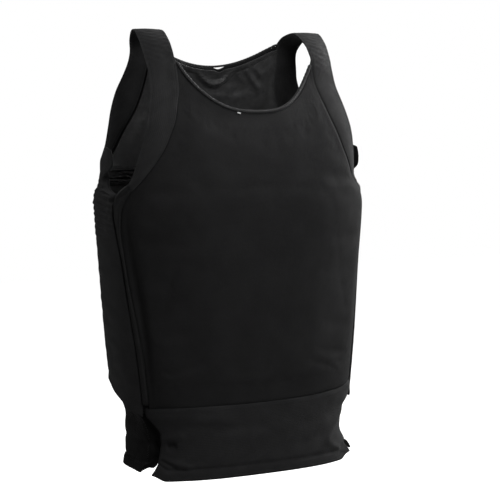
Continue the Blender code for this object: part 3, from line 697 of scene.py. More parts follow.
def gathered_point(u, v, side):
    """Small folds of the lining, close together, at the foot of the armhole."""
    x = mix(GATHERED_FROM.x, GATHERED_TO.x, u)
    drop = mix(GATHERED_FROM.drop, GATHERED_TO.drop, v)
    inside = step(0, GATHERED_FADE_U, np.minimum(u, 1 - u)) * step(0, GATHERED_FADE_V, np.minimum(v, 1 - v))
    waver = uneven(GATHERED_WAVER, x, drop, side)
    clear = GATHERED_CLEAR + np.maximum(folded(GATHERED_FOLDS, x, drop + waver), GATHERED_LOWEST)
    padded = GATHERED_PADDING * step(*GATHERED_PADDING_X, x)
    depth = PANEL_EDGE + PANEL_SINK + padded + LINING_GAP + mix(GATHERED_EDGE_CLEAR, clear, inside)
    return on_body(side * body_psi(x, drop, rear=True), drop, -depth)


print("folds in each gathered corner:", len(GATHERED_FOLDS))

# %% [markdown]
# ## Where the strap, the folded strip, the sides and the hip bands lie
#
# The strap is measured along its path over the shoulder, and the others by turn and drop on the body
# form. Each keeps the small things that make it cloth: wrinkles near the shoulder, gathers under the
# arm, and creases and a turned hem at the hips.

# %% The strap's path over the shoulder
PATH_STEPS = 24


def strap_path():
    """Length from the ridge (front positive), depth and drop along the strap."""
    depths = np.array([-row.rear for row in reversed(BODY[1:])] + [row.front for row in BODY])
    drops = np.array([row.drop for row in reversed(BODY[1:])] + [row.drop for row in BODY])
    marks = np.concatenate(([0.0], np.cumsum(np.hypot(np.diff(depths), np.diff(drops)))))
    spans = [np.linspace(a, b, PATH_STEPS, endpoint=False) for a, b in zip(marks, marks[1:])]
    at = np.concatenate(spans)
    ridge = marks[len(BODY) - 1]
    return at - ridge, hermite(marks, depths, at), hermite(marks, drops, at)


PATH_LENGTH, PATH_DEPTH, PATH_DROP = strap_path()
Station = namedtuple("Station", "middle inner_length inner_x outer_length outer_x")


def length_at(way, drop):
    side = PATH_LENGTH * way >= 0
    order = np.argsort(PATH_DROP[side], kind="stable")
    return float(np.interp(drop, PATH_DROP[side][order], PATH_LENGTH[side][order]))


def station(row):
    inner, outer = length_at(row.way, row.inner_drop), length_at(row.way, row.outer_drop)
    return Station((inner + outer) / 2, inner, row.inner_x, outer, row.outer_x)


STATIONS = [station(row) for row in reversed(STRAP)]
STRAP_LENGTH = STATIONS[-1].middle - STATIONS[0].middle
print("strap length:", round(STRAP_LENGTH, 3))

# %% The strap
STRAP_CUT = Cut(0.040, STRAP_LENGTH, True, False, True, True, 0.0022)
STRAP_WRINKLES = Ramp(0.004, 0.020, 0.078, 0.102)
STRAP_WRINKLE_HEIGHT, STRAP_WRINKLE_PITCH, STRAP_WRINKLE_ARCH = 0.0013, 0.0098, 0.5
STRAP_WAVER, STRAP_WAVER_TURN = 0.004, 9
STRAP_BUMPS = Bumps(0.8, 0.007, 5.0)
STRAP_VALLEY, STRAP_VALLEY_WIDTH, STRAP_VALLEY_DEPTH = 0.0120, 0.0055, 0.0013
STRAP_VALLEY_LENGTHS = Ramp(0.045, 0.085, 0.150, 0.210)
STRAP_BOW = 0.0011
KINK_MARGIN = 0.004
FRONT_KINK_LENGTH, REAR_KINK_LENGTH = length_at(1, FRONT_KINK_DROP), length_at(-1, REAR_KINK_DROP)
FRONT_KINK_LENGTHS = (FRONT_KINK_LENGTH + KINK_MARGIN, FRONT_KINK_LENGTH - KINK_MARGIN)
REAR_KINK_LENGTHS = (REAR_KINK_LENGTH - KINK_MARGIN, REAR_KINK_LENGTH + KINK_MARGIN)


def strap_row(v):
    middle = mix(STATIONS[-1].middle, STATIONS[0].middle, v)
    return Station(*(smooth(STATIONS, "middle", column, middle) for column in Station._fields))


def strap_point(u, v, side, lift=0.0):
    """u runs from the strap's inner edge (0) to its outer one, v from its front tip to its rear tip."""
    free_u = u
    u, v, dip = sewn(STRAP_CUT, u, v)
    at = strap_row(v)
    by_neck = step(*FRONT_KINK_LENGTHS, at.middle) * step(*REAR_KINK_LENGTHS, at.middle)
    u, dip = mix(u, free_u, by_neck), dip * (1 - by_neck)
    across, length = mix(at.inner_x, at.outer_x, u), mix(at.inner_length, at.outer_length, u)
    waver = STRAP_WAVER * np.sin(STRAP_WAVER_TURN * u)
    wave = np.sin(2 * math.pi * (length + waver) / STRAP_WRINKLE_PITCH)
    wave += uneven(STRAP_BUMPS, across, length, side)
    wrinkles = STRAP_WRINKLE_HEIGHT * bump(STRAP_WRINKLES, length) * wave * arch(u, STRAP_WRINKLE_ARCH)
    from_seam = (across - at.inner_x - STRAP_VALLEY) / STRAP_VALLEY_WIDTH
    valley = STRAP_VALLEY_DEPTH * np.exp(-(from_seam**2)) * bump(STRAP_VALLEY_LENGTHS, length) * (side < 0)

    def point(a, b):
        depth, drop = np.interp(b, PATH_LENGTH, PATH_DEPTH), np.interp(b, PATH_LENGTH, PATH_DROP)
        half_width = smooth(BODY, "drop", "half_width", drop)
        shape = (1 - (a / half_width) ** SQUARENESS) ** (1 / SQUARENESS)
        taken_in = np.where(b > 0, tuck(psi_at(a, half_width), drop), 0.0) if side > 0 else 0.0
        return np.stack([a * (1 - taken_in / half_width), -depth * shape, STRAP_CLOTH - drop], -1)

    placed = lifted(point, across, length, lift + STRAP_BOW * arch(u) + wrinkles - valley - dip)
    return placed * np.array([side, 1.0, 1.0])


print("strap width:", STRAP_CUT.width)

# %% The front edge fold
FOLD_BOW, FOLD_ARCH = 0.0008, 0.6
FOLD_INNER_TUCK, FOLD_INNER_SHARE = 0.0022, 0.30
FOLD_PLEATS, FOLD_PLEATS_SHARE = 0.0020, (0.70, 0.90)
FOLD_PLEATS_AT, FOLD_PLEAT_WIDTH, FOLD_GROOVE_SHARE = (0.76, 0.52), 0.12, 0.8
FOLD_FOOT_TUCK, FOLD_FOOT_SHARE = 0.0030, 0.05
LEFT_FOLD_SINK, LEFT_FOOT_SINK, LEFT_FOOT_DROPS = 0.0024, 0.0020, (0.34, 0.44)
LEFT_FOLD_FOOT = 0.038


def fold_point(u, v, side, lift=0.0):
    """u runs from the strip's inner edge (0) to its outer one, v from its foot to its tip."""
    v = mix(LEFT_FOLD_FOOT * (side > 0), 1.0, v)
    last = len(STRIP) - 1
    rows_of_strip = range(last + 1)
    row = StripRow(*(hermite(rows_of_strip, column, (1 - v) * last) for column in zip(*STRIP)))
    inner_psi = body_psi(row.inner_x, row.inner_drop)
    outer_psi = body_psi(row.outer_x, row.outer_drop)
    ridge, groove = (np.exp(-(((u - at) / FOLD_PLEAT_WIDTH) ** 2)) for at in FOLD_PLEATS_AT)
    pleats = FOLD_PLEATS * (ridge - FOLD_GROOVE_SHARE * groove) * step(*FOLD_PLEATS_SHARE, v)
    foot = FOLD_FOOT_TUCK * step(FOLD_FOOT_SHARE, 0, v)
    inner = FOLD_INNER_TUCK * step(FOLD_INNER_SHARE, 0, u)
    sink = (LEFT_FOLD_SINK + LEFT_FOOT_SINK * step(*LEFT_FOOT_DROPS, row.outer_drop)) * (side > 0)
    lift = lift + FOLD_BOW * arch(u, FOLD_ARCH) + pleats - foot - inner - sink
    return on_body(side * mix(inner_psi, outer_psi, u), mix(row.inner_drop, row.outer_drop, u), lift)


print("the folded strip has", len(STRIP), "rows")

# %% The side cloth
SIDE_CUT = Cut(0.20, 0.35, True, True, False, False, 0.0020)
SIDE_HEM_LIFT, SIDE_HEM_SHARE = 0.0014, 0.035
LIP_SLIT_DEPTH, LIP_SLIT_SHARE, LIP_FADE = 0.0060, 0.10, 0.010
LIP_SLIT = Ramp(0.200, 0.212, 0.238, 0.252)
TOP_TUCK, TOP_TUCK_DROPS, TOP_TUCK_SHARE = 0.0040, (0.190, 0.166), (0.05, 0.35)
REAR_RUN, REAR_RUN_DIP, REAR_RUN_SHARE = 0.028, 0.0022, (0.90, 1.0)
REAR_RUN_DROPS = Ramp(0.170, 0.190, 0.236, 0.256)
GATHER_HEIGHT, GATHER_PITCH, GATHER_SLANT = 0.0030, 0.0092, 0.022
GATHER_FADE, GATHER_REACH, GATHER_ARCH = Ramp(0.205, 0.228, 0.262, 0.320), (0.95, 0.45), 0.7
GATHER_BUMPS, GATHER_BUMPS_RUN = Bumps(0.7, 0.009, 7.0), 0.15
RIPPLE_BUMPS, RIPPLE_BUMPS_RUN = Bumps(0.0012, 0.010, 11.0), 0.04


def side_psi(u, drop):
    """Turn of a point of the side cloth, between the armhole's lip or the front seam and the rear seam."""
    lip = np.radians(smooth(SIDE_LIP, "drop", "degrees", drop))
    seam = body_psi(smooth(SIDE_SEAM, "drop", "x", drop), drop)
    front = np.where(drop < SIDE_LIP[-1].drop, lip, seam)
    rear = body_psi(smooth(REAR_SIDE_SEAM, "drop", "x", drop), drop, rear=True)
    return mix(front, rear, u)


def side_gathers(u, drop, side):
    """Gathers that run back from the front seam near the armhole, and faint ripples below them."""
    slant = drop + GATHER_SLANT * u
    wave = np.sin(2 * math.pi * slant / GATHER_PITCH)
    wave += uneven(GATHER_BUMPS, u * GATHER_BUMPS_RUN, drop, side)
    gathers = GATHER_HEIGHT * bump(GATHER_FADE, drop) * wave * arch(u, GATHER_ARCH) * step(*GATHER_REACH, u)
    return gathers + arch(u) * uneven(RIPPLE_BUMPS, u * RIPPLE_BUMPS_RUN, drop, side)


def side_point(u, v, side, lift=0.0):
    """u runs from the front seam (0) to the rear seam, v from the foot to the lip."""
    u, v, dip = sewn(SIDE_CUT, u, v)
    low = np.full_like(u, REAR_WAIST_DROP)
    for _ in range(PASSES):
        low = smooth(SIDE_LOW, "degrees", "drop", np.degrees(side_psi(u, low)))
    drop = mix(low, smooth(SIDE_TOP, "share", "drop", u), v)
    under_back = step(*REAR_RUN_SHARE, u) * bump(REAR_RUN_DROPS, drop)
    u = u + REAR_RUN * under_back
    drawn = smooth(SIDE_DRAW, "drop", "across", drop) * arch(np.clip(u, 0, 1) ** DRAW_LEAN)
    drawn += smooth(SIDE_DRAW, "drop", "lip", drop) * (1 - u) ** 2
    dip = dip * step(SIDE_LIP[-1].drop, SIDE_LIP[-1].drop + LIP_FADE, drop) + REAR_RUN_DIP * under_back
    hem = SIDE_HEM_LIFT * step(SIDE_HEM_SHARE, 0, v)
    slit = LIP_SLIT_DEPTH * step(LIP_SLIT_SHARE, 0, u) * bump(LIP_SLIT, drop)
    top = TOP_TUCK * step(*TOP_TUCK_DROPS, drop) * step(*TOP_TUCK_SHARE, u)
    lift = lift + hem + side_gathers(u, drop, side) - drawn - dip - slit - top
    return on_body(side * side_psi(u, drop), drop, lift)


print("the side cloth's gathers are", GATHER_PITCH * 1000, "mm apart")

# %% The hip bands
FRONT_BAND_CUT = Cut(0.34, 0.105, False, False, False, True, 0.0034)
BACK_BAND_CUT = Cut(0.46, 0.12, False, False, False, True, 0.0024)
UNDERLAP, UNDERLAP_SHARE, UNDERLAP_FULL = 0.085, 0.034, 0.4
UNDERLAP_DEPTH, UNDERLAP_RISE = 0.0052, 0.0090
HEM_GROOVE, HEM_GROOVE_WIDTH = 0.0026, 0.0024
BAND_TOP_DIP, BAND_TOP_SHARE = 0.0018, (0.93, 1.0)
FRONT_BAND_BUMPS, BACK_BAND_BUMPS = Bumps(0.0008, 0.022, 17.0), Bumps(0.0008, 0.022, 23.0)
LEFT_CREASE = rows(
    Edge,
    (0.560, 0.1600), (0.574, 0.1440), (0.582, 0.1347), (0.605, 0.1150),
    (0.624, 0.1369), (0.634, 0.1600),
)
LEFT_CREASE_SPAN = Ramp(0.556, 0.574, 0.622, 0.634)
LEFT_CREASE_RISE, LEFT_CREASE_RISE_WIDTH = 0.0038, 0.024
LEFT_CREASE_FALL, LEFT_CREASE_WIDTH = 0.0022, 0.014
LEFT_EDGE_RUN_DEGREES, LEFT_EDGE_RUN_DROPS = 7.0, Ramp(0.556, 0.580, 0.606, 0.622)
LEFT_CORNER_LIFT, LEFT_CORNER_SHARES, LEFT_CORNER_DROPS = 0.0016, (0.85, 0.97), (0.566, 0.546)
FRONT_BAND_FOLDS = rows(
    Fold,
    (-0.148, 0.583, -0.118, 0.576, 0.0050, 0.0024),
    (-0.139, 0.593, -0.128, 0.591, 0.0040, -0.0048),
    (-0.148, 0.612, -0.130, 0.622, 0.0024, -0.0034),
    (-0.144, 0.613, -0.110, 0.622, 0.0040, 0.0024),
    (-0.140, 0.552, -0.040, 0.560, 0.0080, 0.0018),
    (-0.110, 0.566, 0.000, 0.572, 0.0090, -0.0015),
    (-0.060, 0.584, 0.060, 0.576, 0.0100, 0.0012),
    (0.020, 0.594, 0.130, 0.577, 0.0100, 0.0014),
    (0.000, 0.608, 0.120, 0.598, 0.0080, -0.0012),
)
BACK_BAND_FOLDS = rows(
    Fold,
    (-0.165, 0.560, -0.150, 0.612, 0.0060, 0.0022),
    (-0.163, 0.590, -0.150, 0.586, 0.0045, -0.0026),
    (-0.150, 0.606, -0.110, 0.600, 0.0045, -0.0015),
    (0.150, 0.590, 0.100, 0.584, 0.0050, 0.0018),
    (0.150, 0.606, 0.110, 0.600, 0.0045, -0.0015),
    (-0.080, 0.540, 0.070, 0.548, 0.0100, 0.0014),
    (-0.060, 0.575, 0.080, 0.566, 0.0100, 0.0012),
)


def front_band_point(u, v, lift=0.0):
    u, v, dip = sewn(FRONT_BAND_CUT, u, v)
    hem = HEM_DROP - FRONT_HEM_CORNER_RISE * step(FRONT_HEM_CORNER_SHARE, 0, np.minimum(u, 1 - u))
    drop = mix(hem, front_waist(u) + SEAM_GAP, v)
    edge = band_psi(smooth(VENT, "drop", "front_x", drop), drop)
    psi = mix(-edge, edge + math.radians(LEFT_EDGE_RUN_DEGREES) * bump(LEFT_EDGE_RUN_DROPS, drop), u)
    x = section_point(psi, drop, band_half_width, BAND)[..., 0]
    folds = folded(FRONT_BAND_FOLDS, x, drop) + uneven(FRONT_BAND_BUMPS, x, drop)
    past_crease = x - smooth(LEFT_CREASE, "drop", "x", drop)
    span = bump(LEFT_CREASE_SPAN, drop)
    folds += LEFT_CREASE_RISE * span * np.clip(1 + past_crease / LEFT_CREASE_RISE_WIDTH, 0, 1) ** 2
    folds -= LEFT_CREASE_FALL * span * np.clip(past_crease / LEFT_CREASE_WIDTH, 0, 1)
    folds += LEFT_CORNER_LIFT * step(*LEFT_CORNER_SHARES, u) * step(*LEFT_CORNER_DROPS, drop)
    top = BAND_TOP_DIP * step(*BAND_TOP_SHARE, v)
    return on_band(psi, drop, lift - dip + folds - hem_groove(hem - drop) - top)


def hem_groove(above_hem):
    """The stitched line of the turned hem."""
    return HEM_GROOVE * np.exp(-(((above_hem - HEM_HEIGHT) / HEM_GROOVE_WIDTH) ** 2))


def unwound(angle):
    """The same turn, counted from a half turn back to a half turn on."""
    return np.where(angle <= math.pi, angle, angle - 2 * math.pi)


def back_band_psi(u, drop):
    """From the vent on the wearer's left round the back, and on under the front band on the right."""
    edge = band_psi(smooth(VENT, "drop", "back_x", drop), drop)
    return mix(edge, 2 * math.pi - edge + UNDERLAP, u)


def back_band_point(u, v, lift=0.0):
    u, v, dip = sewn(BACK_BAND_CUT, u, v)
    under = step(1 - UNDERLAP_SHARE, 1 - UNDERLAP_FULL * UNDERLAP_SHARE, u)
    top = np.full_like(u, REAR_WAIST_DROP)
    for _ in range(PASSES):
        turn = np.abs(np.degrees(unwound(back_band_psi(u, top))))
        top = smooth(SIDE_LOW, "degrees", "drop", turn) + SEAM_GAP
    hem = BACK_HEM_DROP - UNDERLAP_RISE * under
    drop = mix(hem, top, v)
    psi = unwound(back_band_psi(u, drop))
    x = section_point(psi, drop, band_half_width, BAND)[..., 0]
    folds = folded(BACK_BAND_FOLDS, x, drop) + uneven(BACK_BAND_BUMPS, x, drop)
    return on_band(psi, drop, lift - dip + folds - UNDERLAP_DEPTH * under - hem_groove(hem - drop))


def sided(place, side):
    """The same piece on the wearer's left (1) or right (-1), with its faces still outwards."""
    if side > 0:
        return lambda u, v: place(u, v, 1)
    return lambda u, v: place(1 - u, v, -1)


print("folds in the hip bands:", len(FRONT_BAND_FOLDS), "and", len(BACK_BAND_FOLDS))

# %% [markdown]
# ## A sheet of cloth
#
# A sheet starts as Blender's own grid. Its cells are drawn closer together near the edges, so that the
# seams can turn in sharply, and it is laid over the place of its pattern piece. Its UV map is measured
# in metres along the cloth, so a weave keeps its size. Solidify gives the thickness, and one
# subdivision rounds the cut edges.

# %% Laying a sheet
EDGE_CLOSENESS = (0.80, 0.70)
LENGTH_CLOSENESS = (0.80, 0.20)
EVENLY = (0.0, 0.0)


def places(piece):
    """The piece's points, as a table of x, y and z."""
    found = np.empty(len(piece.data.vertices) * 3)
    piece.data.vertices.foreach_get("co", found)
    return found.reshape(-1, 3)


def put(piece, points):
    piece.data.vertices.foreach_set("co", points.astype(np.float32).ravel())
    piece.data.update()


def drawn_to_edges(t, closeness):
    """Evenly spaced values from 0 to 1, drawn towards both ends."""
    return t - closeness * np.sin(2 * math.pi * t) / (2 * math.pi)


def metres_along(points, axis):
    """Distance along the cloth in one direction of its grid, from the grid's middle."""
    steps = np.linalg.norm(np.diff(points, axis=axis), axis=-1)
    lead = np.zeros_like(np.take(steps, [0], axis=axis))
    along = np.cumsum(np.concatenate((lead, steps), axis=axis), axis=axis)
    return along - np.take(along, [along.shape[axis] // 2], axis=axis)


def distance_from_edge(table, metres):
    """Rough distance of each point from the nearest edge of its sheet, in metres."""
    span = metres.reshape(*table.shape[:2], 2)
    across = np.minimum(span[..., 0] - span[:, :1, 0], span[:, -1:, 0] - span[..., 0])
    along = np.minimum(span[..., 1] - span[:1, :, 1], span[-1:, :, 1] - span[..., 1])
    return np.minimum(across, along).ravel()


def laid_grid(name, cells, place, closeness=EDGE_CLOSENESS):
    """Blender's grid laid over place(u, v), with its UV map in metres."""
    bpy.ops.object.select_all(action="DESELECT")
    bpy.ops.mesh.primitive_grid_add(x_subdivisions=cells[0], y_subdivisions=cells[1], size=1)
    piece = bpy.context.object
    piece.name = piece.data.name = name
    flat = places(piece)[:, :2] + 0.5
    u, v = drawn_to_edges(flat[:, 0], closeness[0]), drawn_to_edges(flat[:, 1], closeness[1])
    points = place(u, v)
    put(piece, points)
    table = points.reshape(cells[1] + 1, cells[0] + 1, 3)
    metres = np.stack([metres_along(table, 1), metres_along(table, 0)], -1).reshape(-1, 2)
    corners = np.zeros(len(piece.data.loops), np.int32)
    piece.data.loops.foreach_get("vertex_index", corners)
    piece.data.uv_layers.active.data.foreach_set("uv", metres[corners].astype(np.float32).ravel())
    # The distance from the edge lets a cloth pale a worn edge or add painted seam shade.
    rubbed_or_shaded = piece.data.attributes.new("from_edge", "FLOAT", "POINT")
    rubbed_or_shaded.data.foreach_set("value", distance_from_edge(table, metres).astype(np.float32))
    return piece, u, v


print("a grid's cells at an edge are", round(1 - EDGE_CLOSENESS[0], 2), "of their even width")

# %% Thickening and finishing a sheet


def thicken(piece, cloth, edge_cloth=None, weights=None):
    """Adds the cloth's thickness on its inner side, from edge_cloth at weight 0 to cloth at weight 1."""
    solidify = piece.modifiers.new("cloth", "SOLIDIFY")
    solidify.thickness = cloth
    solidify.offset = -1
    solidify.use_quality_normals = True
    if weights is not None:
        group = piece.vertex_groups.new(name="thick")
        for index, value in enumerate(weights):
            group.add([index], float(value), "REPLACE")
        solidify.vertex_group = group.name
        solidify.thickness_vertex_group = edge_cloth / cloth
    bpy.ops.object.modifier_apply(modifier="cloth")


def rounded(piece):
    """One subdivision, which rounds the cut edges."""
    soft = piece.modifiers.new("soft", "SUBSURF")
    soft.levels = soft.render_levels = 1
    bpy.ops.object.modifier_apply(modifier="soft")
    bpy.ops.object.shade_smooth()


def cloth_piece(name, cells, place, cloth, closeness=EDGE_CLOSENESS):
    """A finished sheet of even thickness."""
    piece, _, _ = laid_grid(name, cells, place, closeness)
    thicken(piece, cloth)
    rounded(piece)
    return piece


def worn(piece, node, material):
    """The piece gets its cloth, stands for its solid and rides with the vest."""
    piece.data.materials.clear()
    piece.data.materials.append(material)
    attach(piece, "root")
    if node:
        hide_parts(node)
    print(piece.name, len(piece.data.polygons), "faces")


print("a corner is rounded by one subdivision")

# %% [markdown]
# ## The cloths
#
# All the cloths are black, so they differ in weave and in how they catch the light. The panels have a
# fine plain weave, the sides and the hip bands a ribbed stretch knit, the straps a close cross rib, and
# the lining a smooth satin that shines in patches. Each pattern is measured on the UV map in metres.
# Real black cloth is never one even tone, so each has slow blotches and fine lint. Near its edges a
# cloth is worn paler, or darker where the edge lies deep in a seam: that darkening is painted shade
# for the seam's shadow. For that every sheet carries its distance from the edge.

# %% Nodes of a shader
WAVE_PERIOD = 2 * math.pi / 20
PATCH_ROUGHNESS = 0.55
Waver = namedtuple("Waver", "amount detail scale")


def set_inputs(tree, node, values):
    """Each value is a plain number or colour, or another node's output."""
    for key, value in values.items():
        if isinstance(value, bpy.types.NodeSocket):
            tree.links.new(value, node.inputs[key])
        else:
            node.inputs[key].default_value = value


def add_node(tree, kind, values=None, **settings):
    made = tree.nodes.new(kind)
    for key, value in settings.items():
        setattr(made, key, value)
    set_inputs(tree, made, values or {})
    return made


def threads(tree, place, direction, pitch, waver):
    """Ridges of thread this far apart, which waver a little."""
    return add_node(tree, "ShaderNodeTexWave", {
        "Vector": place, "Scale": WAVE_PERIOD / pitch, "Distortion": waver.amount,
        "Detail": waver.detail, "Detail Scale": waver.scale,
    }, wave_type="BANDS", bands_direction=direction).outputs["Fac"]


def patches(tree, place, size, detail):
    return add_node(tree, "ShaderNodeTexNoise", {
        "Vector": place, "Scale": 1 / size, "Detail": detail, "Roughness": PATCH_ROUGHNESS,
    }).outputs["Fac"]


def mapped(tree, value, low, high, to_low, to_high):
    return add_node(tree, "ShaderNodeMapRange", {
        "Value": value, "From Min": low, "From Max": high, "To Min": to_low, "To Max": to_high,
    }).outputs["Result"]


def product(tree, a, b):
    return add_node(tree, "ShaderNodeMath", {0: a, 1: b}, operation="MULTIPLY").outputs["Value"]


def grey(tree, shade, tone, blue_share=1.0):
    """The shade times this tone, with a little more or less blue."""
    parts = {"Red": tone, "Green": tone, "Blue": tone * blue_share}
    mixed = {name: product(tree, shade, part) for name, part in parts.items()}
    return add_node(tree, "ShaderNodeCombineColor", mixed).outputs["Color"]


print("a pattern's pitch of 1 mm is a scale of", round(WAVE_PERIOD / 0.001, 1))

# %% Weave, blotches, worn edges and painted seam shade
BLOTCH_DETAIL, BLOTCH_RANGE = 3.0, (0.3, 0.7)
LINT_SIZE, LINT_DETAIL, LINT_TONES = 0.0022, 2.0, (0.35, 0.75, 0.88, 1.14)
EDGE_RUB_OR_SHADE_WIDTH = 0.0035
ROUGHNESS_SWING = 0.06
WEAVE_WAVER, WEAVE_STRENGTH = Waver(0.6, 1.0, 0.5), 0.6
GRAIN_SIZE, GRAIN_DETAIL, GRAIN_HEIGHT, GRAIN_STRENGTH = 0.006, 4.0, 0.0008, 0.35
SHEEN_ROUGHNESS = 0.45
BLUE_SHARE = 1.03
Cloth = namedtuple("Cloth", "name tone roughness sheen ribs cross_ribs relief blotch blotch_size rub gloss")


def woven(tree, uv, cloth):
    """Ribs and cross ribs, with a soft grain over them."""
    ribs, cross_ribs = (
        threads(tree, uv, direction, pitch, WEAVE_WAVER)
        for direction, pitch in (("X", cloth.ribs), ("Y", cloth.cross_ribs))
    )
    weave = add_node(tree, "ShaderNodeBump", {
        "Strength": WEAVE_STRENGTH, "Distance": cloth.relief, "Height": product(tree, ribs, cross_ribs),
    })
    return add_node(tree, "ShaderNodeBump", {
        "Strength": GRAIN_STRENGTH, "Distance": GRAIN_HEIGHT,
        "Height": patches(tree, uv, GRAIN_SIZE, GRAIN_DETAIL), "Normal": weave.outputs["Normal"],
    }).outputs["Normal"]


def cloth_material(cloth):
    material, tree, shader = new_material(cloth.name)
    uv = add_node(tree, "ShaderNodeTexCoord").outputs["UV"]
    slow = patches(tree, uv, cloth.blotch_size, BLOTCH_DETAIL)
    lint = mapped(tree, patches(tree, uv, LINT_SIZE, LINT_DETAIL), *LINT_TONES)
    from_edge = add_node(tree, "ShaderNodeAttribute", attribute_name="from_edge").outputs["Fac"]
    shade = product(tree, mapped(tree, slow, *BLOTCH_RANGE, 1 - cloth.blotch, 1 + cloth.blotch), lint)
    # Edge tone: a positive edge value pales a worn edge, a negative one is painted seam shade.
    shade = product(tree, shade, mapped(tree, from_edge, 0.0, EDGE_RUB_OR_SHADE_WIDTH, 1 + cloth.rub, 1.0))
    roughest, smoothest = cloth.roughness + ROUGHNESS_SWING, cloth.roughness - ROUGHNESS_SWING
    set_inputs(tree, shader, {
        "Base Color": grey(tree, shade, cloth.tone, BLUE_SHARE),
        "Roughness": mapped(tree, slow, *BLOTCH_RANGE, roughest, smoothest),
        "Normal": woven(tree, uv, cloth),
        "Specular IOR Level": cloth.gloss,
        "Sheen Weight": cloth.sheen,
        "Sheen Roughness": SHEEN_ROUGHNESS,
    })
    return material


print("a rubbed edge is", EDGE_RUB_OR_SHADE_WIDTH * 1000, "mm wide")

# %% The cloths of this vest
# A negative edge value (carrier, stretch, folded edge, gathered lining) is painted seam shade.
CLOTHS = rows(
    Cloth,
    ("carrier_cloth", 0.0065, 0.72, 0.012, 0.0007, 0.0007, 0.0002, 0.12, 0.050, -0.4, 0.08),
    ("stretch_cloth", 0.0108, 0.80, 0.020, 0.0011, 0.0024, 0.0003, 0.14, 0.030, -0.6, 0.08),
    # The back band's cloth: the stretch cloth darkened with painted shade, as the band lies in shadow.
    ("dark_stretch_cloth", 0.0030, 0.85, 0.010, 0.0011, 0.0024, 0.0003, 0.20, 0.014, 0.6, 0.05),
    ("strap_cloth", 0.0102, 0.78, 0.030, 0.0026, 0.0010, 0.0003, 0.12, 0.018, 0.25, 0.10),
    ("binding_cloth", 0.0115, 0.62, 0.040, 0.0012, 0.0009, 0.0002, 0.12, 0.012, 0.20, 0.14),
    ("folded_edge_cloth", 0.0076, 0.70, 0.020, 0.0009, 0.0012, 0.0002, 0.12, 0.016, -0.6, 0.10),
    ("lining_cloth", 0.0100, 0.50, 0.040, 0.0012, 0.0012, 0.0002, 0.45, 0.009, 0.10, 0.24),
    # The gathers' cloth: the lining cloth darkened with painted shade, for the dark pocket of the ruffles.
    ("gathered_lining_cloth", 0.0060, 0.60, 0.02, 0.0012, 0.0012, 0.0002, 0.3, 0.009, -0.5, 0.12),
)
CARRIER, STRETCH, SHADED_STRETCH, STRAPPING, TRIM, FOLDED_TRIM, INNER, SHADED_GATHERED_INNER = (
    cloth_material(cloth) for cloth in CLOTHS
)
print("cloths:", [cloth.name for cloth in CLOTHS])

# %% The threads
LAY_PITCH, LAY_WAVER, LAY_TONES = 0.0006, Waver(0.4, 2.0, 1.0), (0.0, 1.0, 0.82, 1.08)
THREAD_PATCH_SIZE, THREAD_PATCH_DETAIL, THREAD_PATCH_TONES = 0.004, 2.0, (0.3, 0.7, 0.9, 1.1)
TWIST_STRENGTH, TWIST_HEIGHT = 0.5, 0.0001
THREAD_GLOSS = 0.12


def thread_material(name, tone, roughness):
    """Twisted thread: a fine slanting lay, on Object coordinates because a stitch has no UV map."""
    material, tree, shader = new_material(name)
    place = add_node(tree, "ShaderNodeTexCoord").outputs["Object"]
    lay = threads(tree, place, "DIAGONAL", LAY_PITCH, LAY_WAVER)
    uneven_tone = patches(tree, place, THREAD_PATCH_SIZE, THREAD_PATCH_DETAIL)
    shade = product(tree, mapped(tree, lay, *LAY_TONES), mapped(tree, uneven_tone, *THREAD_PATCH_TONES))
    twist = add_node(tree, "ShaderNodeBump", {
        "Strength": TWIST_STRENGTH, "Distance": TWIST_HEIGHT, "Height": lay,
    })
    set_inputs(tree, shader, {
        "Base Color": grey(tree, shade, tone),
        "Normal": twist.outputs["Normal"],
        "Roughness": roughness,
        "Specular IOR Level": THREAD_GLOSS,
    })
    return material


THREAD = thread_material("tack_thread", 0.34, 0.65)
BLACK_THREAD = thread_material("black_thread", 0.0048, 0.70)
print("materials:", len(bpy.data.materials))

# %% [markdown]
# ## The padded panels
#
# The armour is a stiff pad in a cloth cover, so the cover is tight over the pad and slack around it.
# Beside the folded strip on the wearer's right the slack cover falls away past the pad's edge and leaves
# a long dark groove. On the left, and at the back, the dent is faint. A short cloth simulation swells
# the cover against its seams, from a slightly slimmer start, and the dents are pressed in after it,
# because swelling would smooth them out.

# %% Dents over the armour
ARMOUR_EDGE = rows(
    Edge,
    (0.240, 0.1925), (0.282, 0.1890), (0.324, 0.1840), (0.380, 0.1760),
    (0.436, 0.1700), (0.492, 0.1660), (0.534, 0.1630),
)
ARMOUR_FALL, LEFT_FALL_SHARE, BACK_FALL_SHARE = 0.0135, 0.08, 0.15
ARMOUR_FALL_DROPS, ARMOUR_FALL_ACROSS = Ramp(0.228, 0.272, 0.505, 0.560), (-0.013, 0.006)
ARMOUR_RISE_SHARE, ARMOUR_RISE_ACROSS = 0.12, (0.008, 0.020)
PANEL_BUMPS, PANEL_FINE_BUMPS = Bumps(0.0005, 0.045, 29.0), Bumps(0.00025, 0.012, 31.0)
PLATE_OUTLINE = rows(
    Fold,
    (-0.100, 0.231, 0.002, 0.228, 0.0045, -0.0009),
    (-0.002, 0.228, 0.100, 0.231, 0.0045, -0.0009),
    (0.096, 0.229, 0.116, 0.262, 0.0045, -0.0007),
    (-0.096, 0.229, -0.116, 0.262, 0.0045, -0.0007),
    (0.114, 0.255, 0.148, 0.410, 0.0045, -0.0006),
    (-0.114, 0.255, -0.148, 0.410, 0.0045, -0.0006),
)
PANEL_CREASES = rows(
    Fold,
    (-0.060, 0.186, 0.060, 0.190, 0.0120, 0.0006),
    (-0.080, 0.165, 0.030, 0.172, 0.0110, -0.0005),
    (-0.120, 0.526, -0.060, 0.529, 0.0040, -0.0008),
    (0.040, 0.528, 0.110, 0.524, 0.0040, -0.0006),
    (-0.022, 0.128, -0.030, 0.146, 0.0040, 0.0006),
    (-0.036, 0.126, -0.052, 0.142, 0.0040, 0.0006),
)


